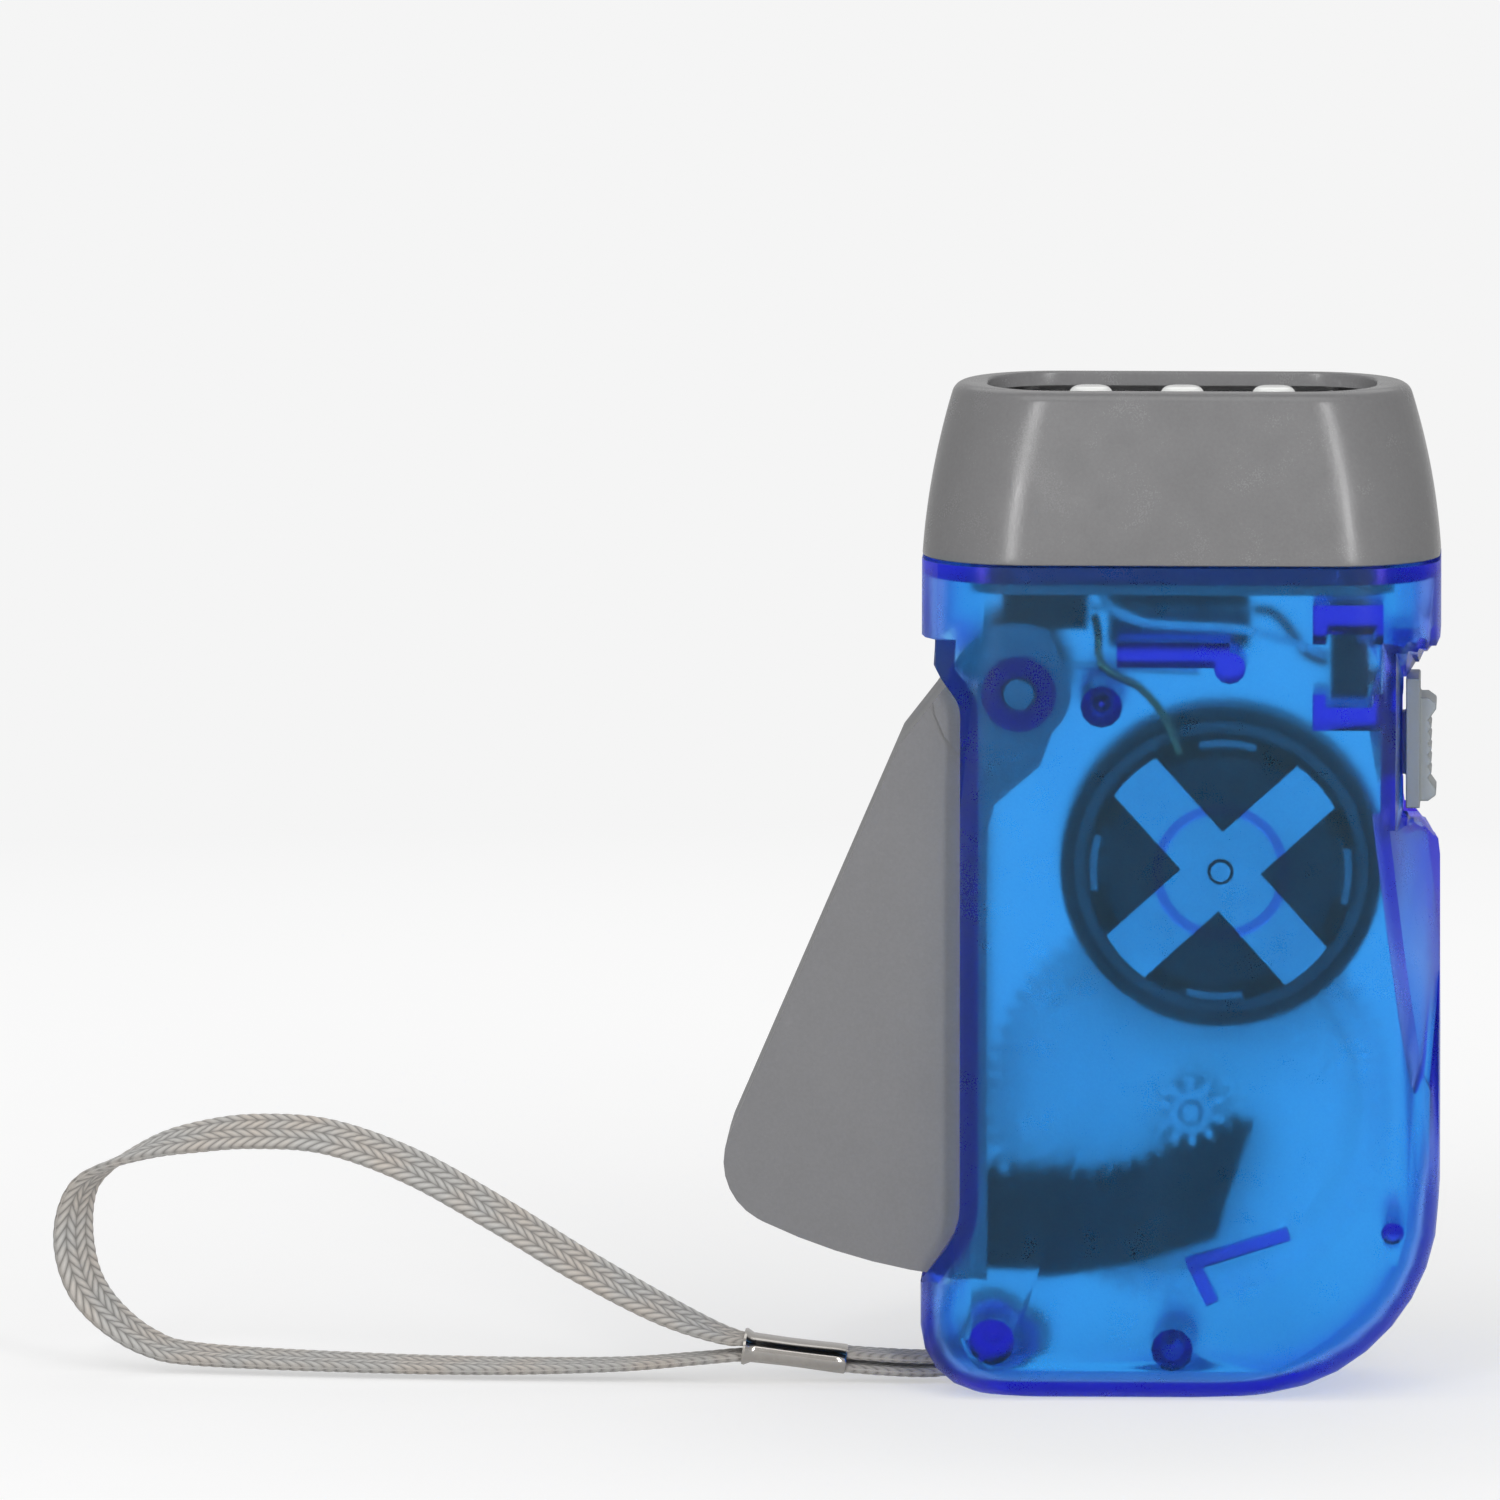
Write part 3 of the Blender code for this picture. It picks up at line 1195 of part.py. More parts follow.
def back_shell(shell):
    """Back half with its pillars, bearing bosses and posts."""
    wall = INNER_DEPTH + ROOT_DEPTH
    seam = FIT_GAP / 2
    high = (PILLAR_HIGH_X, PILLAR_HIGH_Z)
    low = (PILLAR_LOW_X, PILLAR_LOW_Z)
    body = joined(
        half_case(shell, 1),
        cylinder(PILLAR_BACK_RADIUS, seam, wall, SMALL_STEPS, high),
        cylinder(PILLAR_BACK_RADIUS, seam, wall, SMALL_STEPS, low),
        cylinder(POST_RADIUS, seam, wall, SMALL_STEPS, (POST_X, POST_Z)),
        cylinder(POST_PIN_RADIUS, -POST_PIN_LENGTH, wall, SMALL_STEPS, (POST_X, POST_Z)),
        cylinder(PEG_RADIUS, seam, wall, SMALL_STEPS, (PEG_X, PEG_Z)),
        cylinder(BOSS_RADIUS, BOSS_FACE, wall, ROUND_STEPS, (PIVOT_X, PIVOT_Z)),
        cylinder(GEAR_BOSS_RADIUS, GEAR_BOSS_FRONT, wall, SMALL_STEPS, (GEAR_X, GEAR_Z)),
        cylinder(FLY_BOSS_RADIUS, FLY_BOSS_FRONT, wall, SMALL_STEPS, (FLY_X, FLY_Z)),
        box(SHELF_LEFT, SHELF_RIGHT, SHELF_REACH, wall, SHELF_BASE, SHELF_TOP),
    )
    bore = SCREW_RADIUS + FIT_GAP
    sink = SCREW_HEAD_RADIUS + FIT_GAP
    far = HALF_DEPTH + OVERRUN
    return cut(
        body,
        cylinder(bore, -OVERRUN, far, SMALL_STEPS, high),
        cylinder(bore, -OVERRUN, far, SMALL_STEPS, low),
        cylinder(sink, HALF_DEPTH - COUNTERBORE_DEPTH, far, ROUND_STEPS, high),
        cylinder(sink, HALF_DEPTH - COUNTERBORE_DEPTH, far, ROUND_STEPS, low),
        cylinder(PIN_RADIUS + FIT_GAP, BOSS_FACE - OVERRUN, INNER_DEPTH, SMALL_STEPS, (PIVOT_X, PIVOT_Z)),
        cylinder(SHAFT_BORE, GEAR_BOSS_FRONT - OVERRUN, INNER_DEPTH, SMALL_STEPS, (GEAR_X, GEAR_Z)),
        cylinder(SHAFT_BORE, FLY_BOSS_FRONT - OVERRUN, INNER_DEPTH, SMALL_STEPS, (FLY_X, FLY_Z)),
    )


def case_screw():
    """Cross-slotted screw along Y, its head seated at the origin."""
    screw = turned((
        (SCREW_RADIUS, -SCREW_LENGTH),
        (SCREW_RADIUS, 0),
        (SCREW_HEAD_RADIUS, 0),
        (SCREW_HEAD_RADIUS, SCREW_HEAD_HEIGHT),
    ), SMALL_STEPS)
    long = SCREW_HEAD_RADIUS - SCREW_SLOT_WIDTH
    short = SCREW_SLOT_WIDTH / 2
    floor = SCREW_HEAD_HEIGHT - SCREW_SLOT_DEPTH
    return cut(
        screw,
        box(-long, long, floor, floor + OVERRUN, -short, short),
        box(-short, short, floor, floor + OVERRUN, -long, long),
    )


# Lamp head
def head_bezel():
    """Ring that closes the top: rounded outside, a bay and a throat inside, a neck below."""
    loops = [
        rounded_rectangle(-FLANGE_WIDTH / 2, FLANGE_WIDTH / 2, FLANGE_DEPTH / 2, NECK_RADIUS, FLANGE_BASE),
        rounded_rectangle(-FLANGE_WIDTH / 2, FLANGE_WIDTH / 2, FLANGE_DEPTH / 2, NECK_RADIUS, FLANGE_TOP),
        rounded_rectangle(-NECK_WIDTH / 2, NECK_WIDTH / 2, NECK_DEPTH / 2, NECK_RADIUS, FLANGE_TOP),
        rounded_rectangle(-NECK_WIDTH / 2, NECK_WIDTH / 2, NECK_DEPTH / 2, NECK_RADIUS, HEAD_BASE),
    ]
    levels = [HEAD_BASE + (HEAD_HEIGHT - RIM_RADIUS) * k / HEAD_STEPS for k in range(HEAD_STEPS + 1)]
    for level in levels:
        loops.append(head_loop(level, 0))
    for k in range(1, RIM_STEPS + 1):
        angle = math.pi / 2 * k / RIM_STEPS
        level = HEAD_TOP - RIM_RADIUS + RIM_RADIUS * math.sin(angle)
        loops.append(head_loop(level, RIM_RADIUS * (1 - math.cos(angle))))
    mouth = (-MOUTH_WIDTH / 2, MOUTH_WIDTH / 2, MOUTH_DEPTH / 2, MOUTH_RADIUS)
    bay = (-BAY_WIDTH / 2, BAY_WIDTH / 2, BAY_DEPTH / 2, BAY_RADIUS)
    throat = (-THROAT_WIDTH / 2, THROAT_WIDTH / 2, THROAT_DEPTH / 2, THROAT_RADIUS)
    loops.append(rounded_rectangle(*mouth, HEAD_TOP))
    loops.append(rounded_rectangle(*mouth, HEAD_TOP - MOUTH_LIP))
    loops.append(rounded_rectangle(*bay, HEAD_TOP - MOUTH_LIP))
    loops.append(rounded_rectangle(*bay, BAY_BASE))
    loops.append(rounded_rectangle(*throat, BAY_BASE))
    loops.append(rounded_rectangle(*throat, FLANGE_BASE))
    return skin(loops, ring=True)


def head_loop(level, inset):
    """Outer loop of the head at a height: straight draw first, then a growing curve."""
    rise = (level - HEAD_BASE) / HEAD_HEIGHT
    draw = HEAD_DRAW * (HEAD_DRAW_STRAIGHT_SHARE * rise + (1 - HEAD_DRAW_STRAIGHT_SHARE) * rise ** 2)
    half = HALF_WIDTH - draw - inset
    return rounded_rectangle(-half, half, HALF_DEPTH - draw - inset, CORNER_TOP - inset, level)


def led_places():
    """X of each LED."""
    return [LED_PITCH * (index - (LED_COUNT - 1) / 2) for index in range(LED_COUNT)]


def reflector_plate():
    """Plate with a shallow cup around each LED and a leg at each end."""
    base = PLATE_TOP - PLATE_THICKNESS
    half = PLATE_WIDTH / 2
    plate = skin([
        rounded_rectangle(-half, half, PLATE_DEPTH / 2, PLATE_RADIUS, level) for level in (base, PLATE_TOP)
    ])
    foot = BAY_BASE + FIT_GAP
    leg_top = PLATE_TOP - PLATE_THICKNESS / 2
    legs = [
        standing_box(-half, PLATE_LEG_THICKNESS - half, PLATE_LEG_WIDTH / 2, foot, leg_top),
        standing_box(half - PLATE_LEG_THICKNESS, half, PLATE_LEG_WIDTH / 2, foot, leg_top),
    ]
    cups = []
    bores = []
    low = PLATE_TOP - CUP_DEPTH
    for x in led_places():
        cup = turned_upright(
            ((CUP_LOW_RADIUS + CUP_WALL, low), (CUP_TOP_RADIUS + CUP_WALL, base + PLATE_THICKNESS / 2)),
            ROUND_STEPS,
        )
        slope = (CUP_TOP_RADIUS - CUP_LOW_RADIUS) / CUP_DEPTH
        bore = turned_upright(
            (
                (CUP_LOW_RADIUS - slope * OVERRUN, low - OVERRUN),
                (CUP_TOP_RADIUS + slope * OVERRUN, PLATE_TOP + OVERRUN),
            ),
            ROUND_STEPS,
        )
        cup.transform(slide(x, 0, 0))
        bore.transform(slide(x, 0, 0))
        cups.append(cup)
        bores.append(bore)
    return cut(joined(plate, *legs, *cups), *bores)


def led():
    """Round LED with its rim and its dome, standing on its base."""
    top = HEAD_TOP - LED_DROP - LED_BASE
    stations = [(LED_RIM_RADIUS, 0), (LED_RIM_RADIUS, LED_RIM_HEIGHT), (LED_RADIUS, LED_RIM_HEIGHT)]
    for step in range(DOME_STEPS):
        angle = math.pi / 2 * step / DOME_STEPS
        stations.append((LED_RADIUS * math.cos(angle), top - LED_RADIUS + LED_RADIUS * math.sin(angle)))
    stations.append((LED_RADIUS * DOME_TIP_SHARE, top))
    return turned_upright(stations, LED_STEPS)


def standing_box(left, right, half_depth, base, top):
    """Box centred on the middle plane."""
    return box(left, right, -half_depth, half_depth, base, top)


def rectifier_board():
    """Potted rectifier on its board, hung under the LED board."""
    left = RECTIFIER_LEFT
    right = RECTIFIER_LEFT + RECTIFIER_WIDTH
    middle = (RECTIFIER_FRONT + RECTIFIER_BACK) / 2
    half = BOARD_THICKNESS / 2
    potted = box(left, right, RECTIFIER_FRONT, RECTIFIER_BACK, RECTIFIER_BASE, FLANGE_BASE - FIT_GAP)
    tongue = box(left + WALL, right - WALL, middle - half, middle + half, RECTIFIER_BASE + WALL, BAY_BASE)
    return joined(potted, tongue)


def battery_pack():
    """Three button cells in one sleeve, lying along X."""
    cell = BATTERY_LENGTH / BATTERY_CELLS
    stations = []
    for index in range(BATTERY_CELLS):
        start = index * cell - BATTERY_LENGTH / 2
        stations.append((BATTERY_RADIUS - BATTERY_WAIST, start))
        stations.append((BATTERY_RADIUS, start + BATTERY_NECK))
        stations.append((BATTERY_RADIUS, start + cell - BATTERY_NECK))
    stations.append((BATTERY_RADIUS - BATTERY_WAIST, BATTERY_LENGTH / 2))
    return turned_upright(stations, ROUND_STEPS)


# Slide switch
def slide_switch():
    """Switch body with the track that the slider's peg runs in."""
    top = SWITCH_BASE + SWITCH_LENGTH
    body = box(SWITCH_LEFT, SWITCH_RIGHT, SWITCH_FRONT, SWITCH_BACK, SWITCH_BASE, top)
    track = box(
        SWITCH_RIGHT - SWITCH_TRACK_DEPTH, SWITCH_RIGHT + OVERRUN,
        -SWITCH_TRACK_HALF, SWITCH_TRACK_HALF,
        SWITCH_BASE + SWITCH_TRACK_END, top - SWITCH_TRACK_END,
    )
    return cut(body, track)


def switch_slider():
    """Thumb slider: ribbed pad, plate, stem through the case and inner arm with its peg."""
    plate = box(
        SLIDER_BACK, SLIDER_FACE, -SLIDER_PLATE_HALF, SLIDER_PLATE_HALF, SLIDER_PLATE_FOOT, SLIDER_PLATE_TOP,
    )
    face = SLIDER_FACE - ROOT_DEPTH
    high = SLIDER_FACE + SLIDER_PAD_HEIGHT
    low = high - SLIDER_PAD_DIP
    length = SLIDER_PAD_TOP - SLIDER_PAD_FOOT
    end = length / (SLIDER_RIBS + 4)
    outline = [(face, SLIDER_PAD_TOP), (face, SLIDER_PAD_FOOT), (low, SLIDER_PAD_FOOT)]
    outline.append((high, SLIDER_PAD_FOOT + end / 2))
    outline.append((high, SLIDER_PAD_FOOT + end))
    start = SLIDER_PAD_FOOT + 2 * end
    pitch = (length - 4 * end) / SLIDER_RIBS
    for index in range(SLIDER_RIBS):
        foot = start + index * pitch
        outline.append((low, foot))
        outline.append((low + SLIDER_RIB_HEIGHT, foot + pitch / 2))
    outline.append((low, start + SLIDER_RIBS * pitch))
    outline.append((high, SLIDER_PAD_TOP - end))
    outline.append((high, SLIDER_PAD_TOP - end / 2))
    outline.append((low, SLIDER_PAD_TOP))
    pad = prism(outline, -SLIDER_PAD_HALF, SLIDER_PAD_HALF)
    stem = box(
        SLIDER_ARM_LEFT + SLIDER_ARM_THICKNESS / 2, SLIDER_BACK + ROOT_DEPTH,
        -SLIDER_STEM_HALF, SLIDER_STEM_HALF, SLIDER_STEM_FOOT, SLIDER_STEM_TOP,
    )
    arm = box(
        SLIDER_ARM_LEFT, SLIDER_ARM_RIGHT, -SLIDER_ARM_HALF, SLIDER_ARM_HALF, SLIDER_ARM_FOOT, SLIDER_ARM_TOP,
    )
    low_end = SWITCH_BASE + SWITCH_TRACK_END + FIT_GAP
    peg = box(
        SWITCH_RIGHT - SWITCH_TRACK_DEPTH + FIT_GAP, SLIDER_ARM_LEFT + SLIDER_ARM_THICKNESS / 2,
        -SLIDER_PEG_HALF, SLIDER_PEG_HALF, low_end, low_end + SLIDER_PEG_LENGTH,
    )
    return joined(plate, pad, stem, arm, peg)


# Squeeze lever
def polar(radius, angle):
    """Point in the XZ plane at an angle from +X."""
    return (radius * math.cos(angle), radius * math.sin(angle))


def lever_left_corners():
    """Corners of the lever's outer side about the pivot, from the hub to the bottom."""
    down = -math.pi / 2
    hub = [
        (*polar(HUB_RADIUS, WEB_START_ANGLE + (HUB_LEFT_ANGLE - WEB_START_ANGLE) * k / HUB_ARC_STEPS), 0)
        for k in range(HUB_ARC_STEPS + 1)
    ]
    shoulder = (SHOULDER_SHARES[0] * LEVER_REACH, SHOULDER_SHARES[1] * LEVER_REACH, SHOULDER_RADIUS)
    tip = (*polar(LEVER_REACH, down + LEVER_TIP_ANGLE), LEVER_TIP_RADIUS)
    first = (*polar(LEVER_REACH, down + LEVER_TIP_ANGLE + lever_tip_reach()), 0)
    return hub, shoulder, tip, first


def lever_tip_reach():
    """Angle along the bottom that the rounding of the tip takes up."""
    return 2 * math.asin(LEVER_TIP_RADIUS / LEVER_REACH / 2)


def lever_outline():
    """Whole side outline of the lever about the pivot."""
    down = -math.pi / 2
    hub, shoulder, tip, first = lever_left_corners()
    start = LEVER_TIP_ANGLE + lever_tip_reach()
    end = math.asin(INNER_EDGE_SHARE)
    span = (end - start) / LEVER_FOOT_STEPS
    bottom = [(*polar(LEVER_REACH, down + start + span * k), 0) for k in range(1, LEVER_FOOT_STEPS + 1)]
    inner = INNER_EDGE_SHARE * LEVER_REACH
    neck = [
        (inner, NECK_LOWER_SHARE * LEVER_REACH, 0),
        (NECK_LOW_SHARES[0] * LEVER_REACH, NECK_LOW_SHARES[1] * LEVER_REACH, 0),
        (NECK_HIGH_SHARES[0] * LEVER_REACH, NECK_HIGH_SHARES[1] * LEVER_REACH, 0),
    ]
    right = arc((0, 0), HUB_RIGHT_RADIUS, HUB_RIGHT_START, HUB_RIGHT_END, 6)
    top = arc((0, 0), HUB_RADIUS, HUB_TOP_ANGLE, WEB_START_ANGLE, 4)
    corners = [*hub, shoulder, tip, first, *bottom, *neck]
    corners += [(x, z, 0) for x, z in right]
    corners += [(x, z, 0) for x, z in top[:-1]]
    return rounded(corners)


def channel_outline(inset):
    """Free inside of the lever's channel, drawn in from the lever's outer side."""
    hub, shoulder, tip, first = lever_left_corners()
    corners = [*hub, shoulder, tip, first]
    corners.append((first[0], -2 * LEVER_REACH, 0))
    corners.append((LEVER_REACH, -2 * LEVER_REACH, 0))
    corners.append((LEVER_REACH, LEVER_REACH, 0))
    corners.append((hub[0][0], LEVER_REACH, 0))
    return grown(rounded(corners), -inset)


def squeeze_lever():
    """Channel-shaped lever: two side plates, a web along its outer side and hub pads."""
    outline = lever_outline()
    pad = LEVER_HALF + HUB_PAD_HEIGHT
    plates = prism(outline, -LEVER_HALF, LEVER_HALF)
    pads = crossed(prism(outline, -pad, pad), cylinder(HUB_PAD_RADIUS, -CASE_DEPTH, CASE_DEPTH, ROUND_STEPS))
    channel = prism(channel_outline(LEVER_WEB), -LEVER_INNER_HALF, LEVER_INNER_HALF)
    hole = cylinder(PIN_RADIUS + FIT_GAP, -CASE_DEPTH, CASE_DEPTH, ROUND_STEPS)
    return cut(joined(plates, pads), channel, hole)


def toothed_arc():
    """Arc with inner teeth, seated inside the lever's web."""
    body = prism(sector_outline(), SECTOR_FRONT, SECTOR_BACK)
    inside = prism(channel_outline(LEVER_WEB + FIT_GAP), -LEVER_INNER_HALF, LEVER_INNER_HALF)
    return crossed(body, inside)


def spring_points():
    """Centre line of the return spring: long leg, coils about the pivot, short leg."""
    top = math.pi / 2
    total = SPRING_TURNS * math.tau + SPRING_LEAVE_ANGLE - top
    steps = round(SPRING_POINTS * total / math.tau)
    legs = 6
    points = []
    for k in range(legs):
        share = 1 - k / legs
        points.append((SPRING_LONG_LEG * share, SPRING_FRONT, SPRING_RADIUS - SPRING_LEG_DROP * share))
    for k in range(steps + 1):
        x, z = polar(SPRING_RADIUS, top + total * k / steps)
        points.append((x, SPRING_FRONT + SPRING_PITCH * total / math.tau * k / steps, z))
    x, y, z = points[-1]
    ahead = (-math.sin(SPRING_LEAVE_ANGLE), math.cos(SPRING_LEAVE_ANGLE))
    for k in range(1, legs + 1):
        run = SPRING_SHORT_LEG * k / legs
        points.append((x + ahead[0] * run, y, z + ahead[1] * run))
    return points


def least_gap(points, wire):
    """Least clear distance between two turns of a wound wire."""
    nodes = np.array(points)
    fine = np.concatenate([
        np.linspace(a, b, 6, endpoint=False) for a, b in zip(nodes, nodes[1:])
    ])
    runs = np.linalg.norm(np.diff(fine, axis=0), axis=1)
    along = np.concatenate(([0], np.cumsum(runs)))
    apart = np.linalg.norm(fine[:, None] - fine[None, :], axis=2)
    far = np.abs(along[:, None] - along[None, :]) > math.pi * SPRING_RADIUS
    return float(apart[far].min() - wire)


# Gear train and dynamo
def drive_gear():
    """Large gear with a thin web."""
    root = GEAR_PITCH - DEDENDUM_SHARE * MODULE
    mesh_angle = math.pi / 2 - FLY_ANGLE
    body = prism(gear_outline(GEAR_TEETH, mesh_angle, False), GEAR_FRONT, GEAR_BACK)
    web = turned((
        (GEAR_HUB_RADIUS, GEAR_FRONT - OVERRUN),
        (root - GEAR_RIM_WIDTH, GEAR_FRONT - OVERRUN),
        (root - GEAR_RIM_WIDTH, GEAR_BACK - GEAR_WEB_THICKNESS),
        (GEAR_HUB_RADIUS, GEAR_BACK - GEAR_WEB_THICKNESS),
    ), WHEEL_STEPS, ring=True)
    bore = cylinder(SHAFT_BORE, -CASE_DEPTH, CASE_DEPTH, SMALL_STEPS)
    return cut(body, web, bore)


def sector_pinion():
    """Small gear that runs on the toothed arc."""
    mesh_angle = GEAR_ANGLE - math.pi / 2 + math.pi / PINION_TEETH
    body = prism(gear_outline(PINION_TEETH, mesh_angle, True), PINION_FRONT, PINION_BACK)
    return cut(body, cylinder(SHAFT_BORE, -CASE_DEPTH, CASE_DEPTH, SMALL_STEPS))


def flywheel():
    """Flywheel cup with its pinion."""
    cup = turned((
        (FLY_HUB_RADIUS, FLY_WEB_FRONT),
        (FLY_RADIUS - FLY_RIM, FLY_WEB_FRONT),
        (FLY_RADIUS - FLY_RIM, FLY_FRONT),
        (FLY_RADIUS, FLY_FRONT),
        (FLY_RADIUS, FLY_WEB_BACK),
        (FLY_HUB_RADIUS, FLY_WEB_BACK),
    ), WHEEL_STEPS, ring=True)
    mesh_angle = math.pi / 2 - FLY_ANGLE + math.pi + math.pi / FLY_TEETH
    hub = cylinder(FLY_HUB_RADIUS + ROOT_DEPTH / 2, FLY_WEB_FRONT, FLY_WEB_BACK + ROOT_DEPTH / 4, ROUND_STEPS)
    pinion = prism(gear_outline(FLY_TEETH, mesh_angle, True), FLY_WEB_BACK - ROOT_DEPTH / 2, FLY_PINION_BACK)
    return cut(joined(cup, hub, pinion), cylinder(SHAFT_BORE, -CASE_DEPTH, CASE_DEPTH, SMALL_STEPS))


def ring_magnet():
    """Ring magnet seated in the flywheel's rim."""
    back = FLY_WEB_FRONT - FIT_GAP
    return turned((
        (MAGNET_INNER, FLY_FRONT),
        (MAGNET_OUTER, FLY_FRONT),
        (MAGNET_OUTER, back),
        (MAGNET_INNER, back),
    ), WHEEL_STEPS, ring=True)


def pole_plate(face, tip, turn):
    """Cross-shaped pole plate whose arms bend into fingers."""
    step = math.copysign(POLE_THICKNESS, tip - face)
    cup = turned((
        (SHAFT_BORE, face),
        (FINGER_OUTER, face),
        (FINGER_OUTER, tip),
        (FINGER_INNER, tip),
        (FINGER_INNER, face + step),
        (SHAFT_BORE, face + step),
    ), WHEEL_STEPS, ring=True)
    half = POLE_WIDTH / 2
    inner = half / math.sin(math.pi / POLE_COUNT)
    star = []
    for index in range(POLE_COUNT):
        angle = turn + math.tau * index / POLE_COUNT
        along = Vector(polar(FINGER_OUTER + OVERRUN, angle))
        side = Vector(polar(half, angle + math.pi / 2))
        star.append(tuple(along - side))
        star.append(tuple(along + side))
        star.append(polar(inner, angle + math.pi / POLE_COUNT))
    low, high = sorted((face, tip))
    return crossed(cup, prism(star, low - OVERRUN, high + OVERRUN))


def coil_bobbin():
    """Spool with two flanges."""
    front = FRONT_POLE_FACE + POLE_THICKNESS + FIT_GAP
    back = REAR_POLE_FACE - FIT_GAP
    return turned((
        (BOBBIN_BORE, front),
        (BOBBIN_RADIUS, front),
        (BOBBIN_RADIUS, front + BOBBIN_FLANGE),
        (BOBBIN_CORE, front + BOBBIN_FLANGE),
        (BOBBIN_CORE, back - BOBBIN_FLANGE),
        (BOBBIN_RADIUS, back - BOBBIN_FLANGE),
        (BOBBIN_RADIUS, back),
        (BOBBIN_BORE, back),
    ), ROUND_STEPS, ring=True)


def coil_winding():
    """Wound coil between the bobbin's flanges."""
    front = FRONT_POLE_FACE + POLE_THICKNESS + BOBBIN_FLANGE + 2 * FIT_GAP
    back = REAR_POLE_FACE - BOBBIN_FLANGE - 2 * FIT_GAP
    return turned((
        (WINDING_INNER, front),
        (WINDING_RADIUS, front),
        (WINDING_RADIUS, back),
        (WINDING_INNER, back),
    ), ROUND_STEPS, ring=True)


# Strap
def strap_ferrule():
    """Flat metal sleeve around the two layers of the strap, flared at its outer end."""
    half = FERRULE_LENGTH / 2
    lip = FERRULE_LIP_LENGTH
    inner = (FERRULE_WIDTH / 2 - FERRULE_WALL, FERRULE_HEIGHT / 2 - FERRULE_WALL)
    outer = (FERRULE_WIDTH / 2, FERRULE_HEIGHT / 2)
    stations = (
        (half, outer, 0),
        (lip - half, outer, 0),
        (-half, outer, FERRULE_LIP),
        (-half, inner, FERRULE_LIP),
        (lip - half, inner, 0),
        (half, inner, 0),
    )
    loops = []
    for along, (wide, high), flare in stations:
        loops.append(stadium(wide + flare, high + flare, along))
    return skin(loops, ring=True)


def stadium(half_width, half_height, along):
    """Loop across X with strongly rounded corners."""
    radius = half_height * FERRULE_ROUND_SHARE
    flat = rounded_rectangle(-half_width, half_width, half_height, radius, 0)
    return [(along, y, z) for y, z, _ in flat]


def shift(x, z):
    """Move in the XZ plane."""
    return Matrix.Translation((x, 0, z))


def slide(x, y, z):
    """Move in space."""
    return Matrix.Translation((x, y, z))


